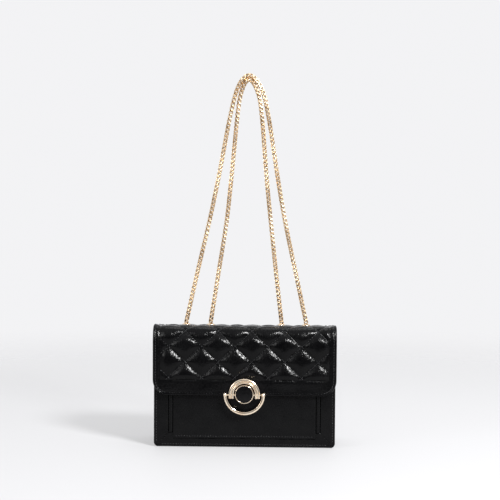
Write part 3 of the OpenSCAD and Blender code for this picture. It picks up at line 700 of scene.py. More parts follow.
quilt_lines = []
line_step, thread_lift, shortest, seam_end, thread_clear = 0.8, 0.02, 5, 0.5, 6
for k in range(-10, 14):
    for slope in (1, -1):
        x = np.arange(-96, 96.1, line_step)
        s = quilt_s + diamond_h / 2 * slope * (2 * k - (x - quilt_x) / (diamond_w / 2))
        inside = (s > frame_low + seam_end) & (s < cover_run - frame_side - seam_end)
        inside &= np.abs(x) < cover_half(np.clip(s, 0, cover_run)) - frame_side - seam_end
        inside &= np.hypot(x, flap_edge_z + s - clasp_z) > clasp_flat_r + 1
        for spot in eyelet_xs:
            inside &= np.hypot(x - spot, s - eyelet_s) > thread_clear
        starts = np.flatnonzero(np.diff(np.concatenate([[0], inside.astype(int), [0]])))
        for a, b in zip(starts[::2], starts[1::2]):
            if b - a > shortest:
                quilt_lines.append(on_cover(s[a:b], x[a:b], thread_lift))
stitch("quilt_stitches", quilt_lines, "fold", "quilted_leather", pitch=3.2, thread=0.24)


topstitch_lines = []
corner_arc = np.linspace(0, math.pi / 2, 24)
reach = flap_corner - edge_inset
for side in (-1, 1):
    s = np.arange(flap_corner, cover_run - yoke_corner, line_step)
    x = side * (cover_half(s) - edge_inset)
    corner_s = flap_corner - reach * np.cos(corner_arc)
    corner_x = side * (flap_half - flap_corner + reach * np.sin(corner_arc))
    topstitch_lines.append(on_cover(np.concatenate([corner_s, s[1:]]),
                                    np.concatenate([corner_x, x[1:]]), thread_lift))
for half, row in ((flap_half - flap_corner, edge_inset),
                  (yoke_half - yoke_corner, cover_run - edge_inset)):
    x = np.arange(-half, half + 0.1, line_step)
    topstitch_lines.append(on_cover(np.full(x.shape, row), x, thread_lift))
stitch("cover_topstitch", topstitch_lines, "fold", "quilted_leather", pitch=3.0, thread=0.27)

# ---------------------------------------------------------------- flap facing
# The underside of the flap is faced with the same cloth as the lining, turned in just short of the
# leather's edge and sewn through with it.
cloth, cloth_in, cloth_out = new_effect(
    "cloth_weave",
    [("Place", "NodeSocketVector", None), ("Threads", "NodeSocketFloat", 2600.0),
     ("Light", "NodeSocketColor", (1, 1, 1, 1)), ("Dark", "NodeSocketColor", (0, 0, 0, 1))],
    [("Colour", "NodeSocketColor"), ("Roughness", "NodeSocketFloat"),
     ("Height", "NodeSocketFloat")])
cloth_split = add_node(cloth, "SeparateXYZ", {0: cloth_in.outputs["Place"]})
cloth_warp = math_node(cloth, "SINE", math_node(cloth, "MULTIPLY", cloth_split.outputs["X"],
                                                cloth_in.outputs["Threads"]))
cloth_weft = math_node(cloth, "SINE", math_node(cloth, "MULTIPLY", cloth_split.outputs["Y"],
                                                cloth_in.outputs["Threads"]))
cloth_cross = math_node(cloth, "MULTIPLY", cloth_warp, cloth_weft)
cloth_lay = math_node(cloth, "MULTIPLY_ADD", cloth_cross, 0.5, 0.5)
cloth_slub = add_node(cloth, "TexNoise", {"Vector": cloth_in.outputs["Place"],
                                          "Scale": 420, "Detail": 4})
cloth_tone = math_node(cloth, "MULTIPLY", cloth_lay, cloth_slub.outputs["Fac"])
cloth.links.new(mix_colours(cloth, cloth_tone, cloth_in.outputs["Dark"],
                            cloth_in.outputs["Light"]), cloth_out.inputs["Colour"])
cloth.links.new(add_node(cloth, "MapRange", {"Value": cloth_slub.outputs["Fac"],
                                             "To Min": 0.55, "To Max": 0.85}).outputs[0],
                cloth_out.inputs["Roughness"])
cloth.links.new(math_node(cloth, "MULTIPLY_ADD", cloth_slub.outputs["Fac"], 0.5, cloth_lay),
                cloth_out.inputs["Height"])


def woven(name, threads, light, dark, bump):
    """A woven cloth finish, laid out on the cut piece."""
    finish, tree, shader = new_finish(name, {"IOR": 1.4, "Sheen Weight": 0.35,
                                             "Sheen Roughness": 0.4})
    use_effect(tree, shader, cloth, {"Place": place_of(tree, True), "Threads": threads,
                                     "Light": (*light, 1), "Dark": (*dark, 1)},
               {"Colour": "Base Color", "Roughness": "Roughness"}, bump)
    return finish


lining_cloth = woven("lining_cloth", 6800, (0.085, 0.078, 0.075), (0.02, 0.019, 0.018), 0.00012)
facing_inset, facing_sink, facing_t = 1.4, 4.0, 0.75
facing_corner = flap_corner - facing_inset
facing_rows = np.concatenate([facing_inset + facing_corner * (1 - np.cos(corner_turn)),
                              np.linspace(flap_corner, fold_s + 1.2, 90)])
facing_spine, facing_out = cover_line(facing_rows)
facing_turn = np.clip((flap_corner - facing_rows) / facing_corner, 0, 1)
facing_half = flap_half - facing_inset - facing_corner * (1 - np.sqrt(1 - facing_turn ** 2))


def facing_relief(s, x):
    """The facing is drawn in along its seam and lies in soft ripples."""
    side = np.minimum(flap_half - 1.2 - np.abs(x), s)
    soft = steps(side, 3, 12)
    return (-0.12 + 0.16 * soft * ripple(x, s, 21, 17, 61)
            - 0.2 * np.exp(-((side - 2.2) / 0.6) ** 2))


flap_facing, _ = sew_panel(
    "flap_facing", facing_spine - facing_out * facing_sink, -facing_out, (1, 0, 0),
    -facing_half, facing_half, facing_relief, facing_t, lining_cloth, "fold", "lining",
    spacing=1.6, rim=0.35, run=facing_rows)
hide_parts("flap_lining")

# ---------------------------------------------------------------- body panels
# The body is cut from the same leather without quilting: front, back, base, and a gusset that
# turns the corner on each side. They are closed at the edges and sewn through.
panel_y, panel_back_y, back_face_y, back_in_y = -25.2, -23.6, 35.9, 34.3
body_half, corner_r, front_top, back_top, foot_z = 104.0, 5.0, 127.0, 128.0, 0.15
front_t, back_t, base_t, gusset_t, base_z, seam_gap = 1.57, 1.55, 1.3, 1.35, 0.25, 0.05
seam_inset, groove_half = 3.0, 0.5


def upright_rows(z0, z1, count):
    """Heights of rows, close together in the rounded lower corner."""
    turn = np.linspace(0, math.pi / 2, 8)[:-1]
    return np.concatenate([z0 + corner_r * (1 - np.cos(turn)),
                           np.linspace(z0 + corner_r, z1, count)])


def upright(rows, y, x=0.0):
    """An upright spine with a point at each row's height."""
    return np.column_stack([np.full(rows.shape, x), np.full(rows.shape, y), rows])


def groove(distance, half=groove_half):
    """The dip that a row of stitches draws into the leather."""
    return np.exp(-(distance / half) ** 2)


def body_outline(z):
    """Half width of the body at a height, with the rounded lower corner."""
    c = np.clip((corner_r - z) / corner_r, 0, 1)
    return body_half - corner_r * (1 - np.sqrt(1 - c * c))


def plain_relief(crown, half, height, seam=seam_inset, seed=71, crease=0.6):
    """Relief of a plain panel: a low crown, a sewn groove along the edge and fine creases."""
    def relief(s, x):
        edge = np.minimum(np.minimum(half - np.abs(x), s), height - s)
        lift = crown * steps(edge, seam, seam + 22)
        return (lift - 0.35 * groove(edge - seam) + 0.18 * groove(edge - seam + 1.6, 0.9)
                + crease * creases(x, s, seed))
    return relief


rows = upright_rows(foot_z, front_top, 70)
front_wall, _ = sew_panel(
    "front_wall", upright(rows, panel_y), (0, -1, 0), (1, 0, 0), -body_outline(rows),
    body_outline(rows), lambda s, x: 0.25 * creases(x, s, 72) - 0.05, front_t, body_patent,
    "root", "body_leather", spacing=2.0, rim=0.7, run=rows)
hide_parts("front_panel")

rows = upright_rows(foot_z, back_top, 90)
back_relief = plain_relief(0.9, body_half, 200.0, seed=73)
back_wall, on_back = sew_panel(
    "back_wall", upright(rows, back_face_y), (0, 1, 0), (1, 0, 0), -body_outline(rows),
    body_outline(rows),
    lambda s, x: np.minimum(back_relief(s, x), 1.1) * steps(108 - s, 0, 16) - 0.1, back_t,
    body_patent, "root", "body_leather", spacing=1.4, rim=0.8, run=rows)
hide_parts("back_panel")


def base_relief(s, a):
    """A flat base with a sewn groove and only the creases that sink in."""
    edge = np.minimum(a - panel_back_y, back_in_y - a)
    crease = creases(s, a, 74)
    return 0.22 - 0.35 * groove(edge - seam_inset, 0.6) + 0.25 * crease * (crease < 0)


half = body_half - corner_r - seam_gap
across_rows = np.linspace(-half, half, 110)
spine = upright(np.full(across_rows.shape, base_z), 0.0, across_rows)
base_wall, _ = sew_panel(
    "base_wall", spine, (0, 0, -1), (0, 1, 0), panel_back_y + seam_gap, back_in_y - seam_gap,
    base_relief, base_t, body_patent, "root", "body_leather", spacing=1.6, rim=0.25)
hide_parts("base_panel")

gusset_y0, gusset_y1 = panel_back_y + seam_gap, back_in_y - seam_gap
gusset_top, hinge_gap, hinge_slope, gusset_inset, gusset_seam = 130.2, 10.0, 5, 0.2, 2.6
turn = np.linspace(math.pi / 2, 0, 10)
down_z = np.concatenate([np.linspace(gusset_top, front_top, 5),
                         np.linspace(front_top, corner_r, 82)[1:]])
gusset_lines = {}
for side, name, node in ((-1, "left_side", "left_gusset"), (1, "right_side", "right_gusset")):
    inset = gusset_inset
    x = np.concatenate([np.full(down_z.shape, body_half - inset),
                        body_half - corner_r + (corner_r - inset) * np.sin(turn[1:])])
    z = np.concatenate([down_z, corner_r - (corner_r - inset) * np.cos(turn[1:])])
    out_x = np.concatenate([np.ones(down_z.shape), np.sin(turn[1:])])
    out_z = np.concatenate([np.zeros(down_z.shape), -np.cos(turn[1:])])
    spine = np.column_stack([side * x, np.zeros(x.shape), z])
    outward = np.column_stack([side * out_x, np.zeros(x.shape), out_z])
    rise = (z - front_top) / (gusset_top - front_top)
    front_edge = np.where(z > front_top, hinge_gap + hinge_slope * rise, gusset_y0)
    mid_y = (gusset_y0 + gusset_y1) / 2

    def gusset_relief(s, a, seed=75 + side):
        edge = np.minimum(a - gusset_y0, gusset_y1 - a)
        valley = -0.9 * np.exp(-((a - mid_y) / 7.0) ** 2) * steps(105 - s, 0, 70)
        return 0.12 - 0.4 * groove(edge - gusset_seam) + valley + 0.45 * creases(a, s, seed)

    wall, gusset_lines[side] = sew_panel(
        name, spine, outward, (0, 1, 0), front_edge, gusset_y1, gusset_relief, gusset_t,
        body_patent, "root", "body_leather", spacing=1.3, rim=0.5)
    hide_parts(node)

# ---------------------------------------------------------------- framed slip pocket
# On the front sits a slip pocket: a flat panel, a rounded welt down each side, and a mitred frame
# of leather strips around it that is topstitched to the front wall.
pocket_y, pocket_half, pocket_z, pocket_top, pocket_t = -28.2, 82.0, 10.0, 112.0, 1.4
welt_w, welt_z, welt_y, frame_t, mitre_x, frame_top = 5.0, 17.0, -28.8, 2.0, 103.0, 121.0
pocket_hem, pocket_seam, foot_x = 93.0, 2.6, 102.0
frame_x = pocket_half + welt_w


def pocket_relief(s, x):
    """A flat panel with a low crown, a turned top edge and a groove at its foot."""
    side = pocket_half - np.abs(x)
    lift = 0.5 * steps(side, 0, 16) * steps(s, 4, 22) * steps(100 - s, 0, 40)
    hem = 0.35 * steps(s, pocket_hem - 0.5, pocket_hem + 0.5) - 0.3 * groove(s - pocket_hem)
    return lift - 0.35 * groove(s - pocket_seam) + hem + 0.5 * creases(x, s, 81) - 0.1


rows = np.linspace(pocket_z, pocket_top, 100)
slip_pocket, on_pocket = sew_panel(
    "slip_pocket", upright(rows, pocket_y), (0, -1, 0), (1, 0, 0), -pocket_half + 0.1,
    pocket_half - 0.1, pocket_relief, pocket_t - seam_gap, body_patent, "root",
    "body_leather", spacing=1.3, rim=0.8)
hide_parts("front_pocket")

frame_lines = []
rows = np.linspace(welt_z + 0.1, pocket_top, 90)
for side, name, node in ((-1, "left_pocket_welt", "left_welt"),
                         (1, "right_pocket_welt", "right_welt")):
    spine = upright(rows, panel_y, side * (pocket_half + welt_w / 2))
    height = panel_y - welt_y

    def welt_relief(s, a, seed=82 + side):
        share = np.clip(np.abs(a) / (welt_w / 2), 0, 1)
        return height * (1 - share ** 3.2) ** (1 / 2.4) * 0.97 + 0.2 * creases(a, s, seed)

    piece, _ = sew_panel(name, spine, (0, -1, 0), (1, 0, 0), -welt_w / 2 + 0.06,
                         welt_w / 2 - 0.06, welt_relief, 0.0, body_patent, "root",
                         "body_leather", spacing=0.35, rim=0.3)
    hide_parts(node)

rows = np.concatenate([np.linspace(1.15, corner_r, 7), np.linspace(corner_r, frame_top, 100)[1:]])
for side, name, node in ((-1, "left_frame_strip", "left_border"),
                         (1, "right_frame_strip", "right_border")):
    mitre = frame_x + (welt_z - rows) * (mitre_x - frame_x) / welt_z
    inner = np.where(rows < welt_z, mitre, frame_x) + seam_gap
    outer_edge = body_outline(rows)
    low, high = (inner, outer_edge) if side > 0 else (-outer_edge, -inner)

    def strip_relief(s, a, seed=84 + side):
        edge = body_outline(s) - np.abs(a)
        return (frame_t - 0.1 - 0.35 * groove(edge - seam_inset)
                + 0.15 * steps(edge, seam_inset, 8) + 0.35 * creases(a, s, seed))

    piece, on_strip = sew_panel(name, upright(rows, panel_y), (0, -1, 0), (1, 0, 0), low, high,
                                strip_relief, 0.0, body_patent, "root", "body_leather",
                                spacing=0.9, rim=0.8, run=rows)
    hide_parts(node)
    s = np.arange(6, frame_top - 2, line_step)
    frame_lines.append(on_strip(s, side * (body_outline(s) - seam_inset), thread_lift))

step_x = pocket_half + seam_gap
rows = np.concatenate([np.linspace(-foot_x, -frame_x, 18), np.linspace(-frame_x, -step_x, 7)[1:],
                       np.linspace(-step_x + seam_gap, step_x - seam_gap, 120),
                       np.linspace(step_x, frame_x, 7), np.linspace(frame_x, foot_x, 18)[1:]])
reach = np.abs(rows)
past_corner = reach - body_half + corner_r
corner_rise = corner_r - np.sqrt(np.clip(corner_r ** 2 - past_corner ** 2, 0, None))
low = np.where(past_corner > 0, corner_rise, foot_z)
high = np.where(reach < step_x, pocket_z - 0.1,
                np.where(reach <= frame_x, welt_z - seam_gap,
                         (mitre_x - reach) * welt_z / (mitre_x - frame_x)))
spine = upright(np.zeros(rows.shape), panel_y, rows)
foot_frame, on_foot = sew_panel(
    "foot_frame_strip", spine, (0, -1, 0), (0, 0, 1), low, np.maximum(high, low + 0.1),
    lambda s, a: frame_t - 0.1 - 0.35 * groove(a - seam_inset) + 0.35 * creases(s, a, 86),
    0.0, body_patent, "root", "body_leather", spacing=0.6, rim=0.6)
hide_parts("base_border")
x = np.arange(-95, 95.1, line_step)
frame_lines.append(on_foot(x + foot_x, np.full(x.shape, seam_inset), thread_lift))
x = np.arange(-pocket_half + 3, pocket_half - 2.9, line_step)
pocket_lines = [on_pocket(np.full(x.shape, row), x, thread_lift)
                for row in (pocket_seam, pocket_hem)]
s = np.arange(3, 104, line_step)
back_lines = [on_back(s + 2, np.full(s.shape, side * (body_half - seam_inset)), thread_lift)
              for side in (-1, 1)]
x = np.arange(-96, 96.1, line_step)
back_lines.append(on_back(np.full(x.shape, seam_inset), x, thread_lift))
s = np.arange(6, 124, line_step)
side_lines = [gusset_lines[side](s, np.full(s.shape, y), thread_lift) for side in (-1, 1)
              for y in (gusset_y0 + gusset_seam, gusset_y1 - gusset_seam)]
stitch("body_stitches", frame_lines + pocket_lines + back_lines + side_lines,
       "root", "body_leather", pitch=3.0, thread=0.25)

# ---------------------------------------------------------------- lining
# The inside is lined with a plain charcoal cloth, sewn into a box and glued to the boards, with an
# open patch pocket on the front wall.
inside_front_y, inside_back_y, lining_t, side_lining_x = -21.8, 32.5, 0.6, 101.6
lining_foot, lining_top, inside_z, back_lining_top = 3.4, 121.0, 4.0, 130.15
wall_rise, back_rise, floor_run, free_side = 117, 127, 201, 60


def cloth_relief(wide, tall, seed, slack=0.22):
    """Cloth that is drawn in at its seams and loose in between."""
    def relief(s, a):
        edge = np.minimum(np.minimum(s, tall - s), wide - np.abs(a))
        return slack * steps(edge, 1, 14) * ripple(a, s, 23, 31, seed) - 0.12
    return relief


def lining_wall(name, node, spine, facing, across, low, high, wide, tall, seed):
    """One wall of the lining, as a panel of cloth."""
    piece, on_wall = sew_panel(name, spine, facing, across, low, high,
                               cloth_relief(wide, tall, seed), lining_t - 0.15, lining_cloth,
                               "root", "lining", spacing=2.4, rim=0.2)
    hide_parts(node)
    return piece, on_wall


def straight(start, end, count=50):
    """Evenly spaced points between two points."""
    return np.linspace(start, end, count)


for name, node, y, facing, top, tall, seed in (
        ("front_lining_wall", "lining_front", inside_front_y, (0, 1, 0), lining_top, wall_rise, 91),
        ("back_lining_wall", "lining_back", inside_back_y, (0, -1, 0), back_lining_top, back_rise, 92)):
    lining_wall(name, node, straight((0, y, lining_foot), (0, y, top)), facing, (1, 0, 0),
                -side_lining_x, side_lining_x, side_lining_x, tall, seed)
for side, name, node in ((-1, "left_lining_wall", "lining_left"),
                         (1, "right_lining_wall", "lining_right")):
    x = side * (side_lining_x - lining_t)
    lining_wall(name, node, straight((x, 0, inside_z), (x, 0, lining_top)), (-side, 0, 0),
                (0, 1, 0), inside_front_y + seam_gap, inside_back_y - seam_gap, free_side,
                wall_rise, 93 + side)
lining_wall("lining_floor", "lining_base",
            straight((-side_lining_x, 0, inside_z), (side_lining_x, 0, inside_z), 80),
            (0, 0, 1), (0, 1, 0), inside_front_y + seam_gap, inside_back_y - seam_gap, free_side,
            floor_run, 95)

card_half, card_z, card_h, card_t, card_hem = 52.0, 38.0, 56.0, 0.8, 47.5


def card_relief(s, a):
    """The pocket is held along its sides, foot and middle, and its mouth stands off a little."""
    held = np.minimum(np.minimum(card_half - np.abs(a), np.abs(a)), s)
    hem = 0.3 * steps(s, card_hem - 0.5, card_hem + 0.5) - 0.25 * groove(s - card_hem)
    return 0.9 * steps(held, 1, 18) * steps(s, 10, 56) + hem + 0.1 * ripple(a, s, 12, 15, 97) - 0.1


card_y = inside_front_y + card_t
card_patch, _ = sew_panel(
    "card_patch", straight((0, card_y, card_z), (0, card_y, card_z + card_h)), (0, 1, 0),
    (1, 0, 0), -card_half, card_half, card_relief, card_t - 0.1, lining_cloth, "root", "lining",
    spacing=1.6, rim=0.3)
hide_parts("card_pocket")

# ---------------------------------------------------------------- zip pocket
# A patch of lining cloth on the back wall is closed by a metal zip on woven tapes. The slider
# straddles the teeth, and its pull hangs from a pin through the slider's lug.
zip_half, zip_y, zip_z, zip_foot, tape_x, tape_w = 75.0, 30.5, 92.0, 30.0, 3.0, 9.0
tape_t, tooth_w, tooth_t, tooth_pitch, tooth_gap, fold_h = 0.6, 2.4, 1.6, 3.0, 1.2, 5.0
patch_face = zip_y - tape_t / 2
patch_depth = inside_back_y - patch_face - 0.1
tape_reach = tape_x + tape_w
patch_top, fold_z = zip_z - tape_reach, zip_z + tape_reach


def patch_relief(s, a):
    """A loose bag of cloth that is sewn down at its sides and foot."""
    edge = np.minimum(zip_half - np.abs(a), s)
    return (0.7 * steps(edge, 2, 20) * steps(50 - s, 0, 14) + 0.25 * steps(edge, 2, 9)
            * ripple(a, s, 17, 13, 101) - 0.3 * groove(edge - 2, 0.6) - 0.1)


def fold_relief(s, a):
    """The folded edge of the lining over the upper tape."""
    return -0.1 + 0.05 * ripple(a, s, 9, 9, 103)


patch, _ = sew_panel(
    "zip_pocket_patch", straight((0, patch_face, zip_foot), (0, patch_face, patch_top), 60),
    (0, -1, 0), (1, 0, 0), -zip_half, zip_half, patch_relief, patch_depth, lining_cloth, "root",
    "lining", spacing=1.6, rim=0.5)
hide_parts("zip_pocket")
fold, _ = sew_panel(
    "zip_pocket_fold", straight((0, patch_face, fold_z), (0, patch_face, fold_z + fold_h), 8),
    (0, -1, 0), (1, 0, 0), -zip_half, zip_half, fold_relief, patch_depth, lining_cloth, "root",
    "lining", spacing=2, rim=0.4)
tape_cloth = woven("zip_tape_cloth", 5200, (0.03, 0.03, 0.032), (0.006, 0.006, 0.007), 0.0001)


def tape_relief(s, a):
    """A corded edge beside the teeth and a fine rib further out."""
    near = np.abs(a) - tape_x
    return -0.05 + 0.25 * groove(near - 0.7) + 0.1 * groove(near - 3, 0.3)


tapes, _ = sew_panel(
    "woven_zip_tapes", straight((-zip_half, patch_face, zip_z), (zip_half, patch_face, zip_z), 80),
    (0, -1, 0), (0, 0, 1), -tape_reach, tape_reach, tape_relief, tape_t - 0.1, tape_cloth,
    "root", "zip_tape", spacing=0.5, rim=0.15, gap=(-tape_x, tape_x))
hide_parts("zip_tapes")

gold = plated("polished_gold", (0.95, 0.82, 0.65), (0.88, 0.69, 0.50), 0.10, 0.22, 0.000012)


def plate_mesh(outline, holes, depth, bevel=0.25, segments=2):
    """Points and faces of a plate with rounded edges, cut to an outline, with holes."""
    shape = bmesh.new()
    rings = []
    for line in [outline, *holes]:
        verts = [shape.verts.new((x, z, 0)) for x, z in line]
        rings.append([shape.edges.new((verts[i], verts[(i + 1) % len(verts)]))
                      for i in range(len(verts))])
    bmesh.ops.triangle_fill(shape, edges=[e for r in rings for e in r], use_beauty=True)
    made = bmesh.ops.extrude_face_region(shape, geom=shape.faces[:])
    moved = [v for v in made["geom"] if isinstance(v, bmesh.types.BMVert)]
    bmesh.ops.translate(shape, vec=(0, 0, depth), verts=moved)
    shape.normal_update()
    sharp = [e for e in shape.edges if len(e.link_faces) == 2
             and e.calc_face_angle(0) > math.radians(60)]
    bmesh.ops.bevel(shape, geom=sharp, offset=bevel, segments=segments, affect="EDGES",
                    profile=0.5)
    shape.verts.index_update()
    verts = np.array([v.co[:] for v in shape.verts])
    faces = [[v.index for v in f.verts] for f in shape.faces]
    shape.free()
    return verts, faces


def joined(parts):
    """Several (points, faces) as one."""
    verts, faces, base = [], [], 0
    for v, f in parts:
        verts.append(v)
        faces += [[i + base for i in face] for face in f]
        base += len(v)
    return np.vstack(verts), faces


def lathe(profile, sides=48):
    """Points and faces of a turned piece, with the profile as (radius, height)."""
    turn = np.linspace(0, 2 * math.pi, sides, endpoint=False)
    verts, faces, rows = [], [], []
    for r, h in profile:
        rows.append((len(verts), r > 0))
        verts += [(r * math.cos(t), r * math.sin(t), h) for t in turn] if r > 0 else [(0, 0, h)]
    for (a, wide_a), (b, wide_b) in zip(rows, rows[1:]):
        for j in range(sides):
            k = (j + 1) % sides
            if wide_a and wide_b:
                faces.append([a + j, a + k, b + k, b + j])
            elif wide_a:
                faces.append([a + j, a + k, b])
            elif wide_b:
                faces.append([a, b + k, b + j])
    return np.array(verts, float), faces


def arc(cx, cz, r, start, end, count):
    """Points of an arc, angles in degrees."""
    return [(cx + r * math.cos(math.radians(t)), cz + r * math.sin(math.radians(t)))
            for t in np.linspace(start, end, count)]


def placed(mesh, x, y, z):
    """A (points, faces) plate stood up in the bag, with its thickness from front to back."""
    verts, faces = mesh
    return np.column_stack([x + verts[:, 0], y + verts[:, 2], z + verts[:, 1]]), faces


tooth_parts = []
zip_front, tooth_start, tooth_bevel, stop_inset = zip_y - tooth_t / 2, 6, 0.14, 2.5
tooth_outline = [(-0.7, -1.2), (0.7, -1.2), (0.62, 0.2), (0.38, 0.9), (0.3, 1.2), (-0.3, 1.2),
                 (-0.38, 0.9), (-0.62, 0.2)]
tooth_v, tooth_f = plate_mesh(tooth_outline, [], tooth_t, bevel=tooth_bevel)
for side in (-1, 1):
    for i in range(int((2 * zip_half - 2 * tooth_start) / tooth_pitch)):
        x = (tooth_start - zip_half + (i + 0.25) * tooth_pitch
             + (tooth_pitch / 2 if side > 0 else 0))
        z = zip_z + side * (tooth_gap + tooth_w) / 2
        tooth_parts.append((np.column_stack([x + tooth_v[:, 0], zip_front + tooth_v[:, 2],
                                             z - side * tooth_v[:, 1]]), tooth_f))
teeth = make_piece("zip_teeth_rows", *joined(tooth_parts), gold, "root", "hardware")
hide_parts("zip_teeth")
stop = plate_mesh([(-1.5, -3), (1.5, -3), (1.5, 3), (-1.5, 3)], [], tooth_t + 0.1, bevel=0.35)
stops = make_piece("zip_end_stops", *joined(
    [placed(stop, end * (zip_half - stop_inset), zip_front - 0.05, zip_z) for end in (-1, 1)]),
    gold, "root", "hardware")
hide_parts("zip_stops")

slider_x0, slider_w, slider_h, plate_t, slider_gap = -67.0, 8.0, 9.0, 0.8, 0.25
slider_r, slider_notch, slider_back_t, bridge_half, lug_t = 1.6, 1.1, 0.6, 0.35, 1.8
slider_front = zip_front - slider_gap - plate_t
slider_back = zip_y + tooth_t / 2 + slider_gap
lug_x, lug_y, pin_r = slider_x0 + slider_w / 2, slider_front - 1.2, 0.7
wide, narrow = slider_h / 2, slider_h / 2 - slider_notch
slider_outline = ([(0, -narrow)]
                  + arc(slider_w - slider_r, -wide + slider_r, slider_r, -90, 0, 5)
                  + [(slider_w - slider_notch, 0)]
                  + arc(slider_w - slider_r, wide - slider_r, slider_r, 0, 90, 5)
                  + [(0, narrow)])
front_plate = plate_mesh(slider_outline, [], plate_t, bevel=0.22)
back_plate = plate_mesh(slider_outline, [], slider_back_t, bevel=0.18)
bridge = plate_mesh([(2, -bridge_half), (6, -bridge_half), (6, bridge_half), (2, bridge_half)],
                    [], slider_back - slider_front + 0.3, bevel=0.1)
lug_outline = [(lug_x - 2, 0.4)] + arc(lug_x - 0.6, -1.0, 1.4, 180, 270, 5) + \
    arc(lug_x + 0.6, -1.0, 1.4, 270, 360, 5) + [(lug_x + 2, 0.4)]
lug_v, lug_f = plate_mesh(lug_outline, [arc(lug_x, -1.2, 0.76, 0, 345, 24)], lug_t, bevel=0.12)
slider = make_piece("zip_slider_body", *joined([
    placed(front_plate, slider_x0, slider_front, zip_z),
    placed(back_plate, slider_x0, slider_back, zip_z),
    placed(bridge, slider_x0, slider_front, zip_z),
    (np.column_stack([lug_v[:, 0], slider_front + lug_v[:, 1],
                      zip_z - lug_t / 2 + lug_v[:, 2]]), lug_f)]), gold, "slider", "hardware")
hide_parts("zip_slider")
pull_l, pull_t, pull_end_r, pull_hole_r, pin_half_l = 22.0, 1.0, 3.0, 1.3, 2.5
tab_outline = (arc(-pull_l + pull_end_r, 0, pull_end_r, 90, 270, 13)
               + [(-7.6, -2.6), (-6.8, -2.6), (0.2, -2.6), (0.2, -1.4), (-5.6, -1.4),
                  (-5.6, 1.4), (0.2, 1.4), (0.2, 2.6), (-6.8, 2.6), (-7.6, 2.6)])
tab = plate_mesh(tab_outline, [arc(-pull_l + 3.6, 0, pull_hole_r, 0, 345, 20)], pull_t, bevel=0.2)
pin_v, pin_f = lathe([(0, -pin_half_l), (0.5, -pin_half_l), (pin_r, 0.2 - pin_half_l),
                      (pin_r, pin_half_l - 0.2), (0.5, pin_half_l), (0, pin_half_l)], 20)
pull = make_piece("zip_pull_tab", *joined([
    placed(tab, lug_x, lug_y - pull_t / 2, zip_z),
    (pin_v + (lug_x, lug_y, zip_z), pin_f)]), gold, "pull", "hardware")
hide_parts("zip_pull")

# ---------------------------------------------------------------- eyelets
# Four rolled eyelets of plated brass line the holes for the chain, and are clenched over washers
# inside the top.
eyelet_hole, eyelet_r, eyelet_wall, washer_z, washer_t, washer_hole = 3.0, 4.75, 0.6, 130.2, 0.6, 3.7
eyelet_profile = ([(eyelet_hole, washer_z - washer_t), (eyelet_hole, bag_top + 0.45)]
                  + arc(eyelet_hole + 0.75, bag_top + 0.45, 0.75, 180, 90, 6)
                  + arc(eyelet_r - 0.8, bag_top + 0.4, 0.8, 90, 0, 7)
                  + [(eyelet_r, bag_top - 0.25), (eyelet_hole + eyelet_wall, bag_top - 0.35),
                     (eyelet_hole + eyelet_wall, washer_z - washer_t),
                     (eyelet_hole, washer_z - washer_t)])
eyelet_v, eyelet_f = lathe(eyelet_profile)
eyelets = make_piece("rolled_eyelets", *joined([
    (eyelet_v + (x, chain_y, 0), eyelet_f) for x in eyelet_xs]), gold, "root", "hardware")
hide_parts("eyelets")
washer_profile = [(washer_hole, 0.0), (4.5, 0.0), (eyelet_r, 0.15), (eyelet_r, washer_t),
                  (washer_hole, washer_t), (washer_hole, 0.0)]
washer_v, washer_f = lathe(washer_profile)
washers = make_piece("eyelet_back_washers", *joined([
    (washer_v + (x, chain_y, washer_z - washer_t), washer_f) for x in eyelet_xs]),
    gold, "root", "hardware")
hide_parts("eyelet_washers")

# ---------------------------------------------------------------- clasp
# The clasp is cast, polished and plated pale gold: an arch with a groove, a disc with a black
# enamel centre, and a half ring with round ends that swings on a pin through both.
arch_mid, arch_leg, pin_out, pin_drop = 15.0, 4.8, 2.9, 0.8
disc_r, inlay_r, disc_h, recess_z = 10.6, 9.75, 4.8, 4.1
ring_out, ring_w, ring_t, ring_drop, knob_r, clasp_pin_r = 23.5, 3.5, 3.0, 0.3, 2.4, 0.8
pin_half = 22.35
ear_size, ear_out, ear_up, ring_round, knob_open = 0.72, 0.4, 0.8, 0.55, 1.45


def on_flap(points):
    """From (across, up, height over the flap) to the bag's frame."""
    p = np.asarray(points, float)
    return np.column_stack([p[:, 0], flap_front_y - p[:, 2], clasp_z + p[:, 1]])


def swept(path, outward, section, closed_ends=True):
    """A section, as (outward, height), carried along a path in the flap's plane."""
    n = len(section)
    verts = [(px + ox * a, py + oy * a, h) for (px, py), (ox, oy) in zip(path, outward)
             for a, h in section]
    faces = [[i * n + j, i * n + (j + 1) % n, (i + 1) * n + (j + 1) % n, (i + 1) * n + j]
             for i in range(len(path) - 1) for j in range(n)]
    if closed_ends:
        faces += [list(range(n)), list(range((len(path) - 1) * n, len(path) * n))[::-1]]
    return np.array(verts), faces


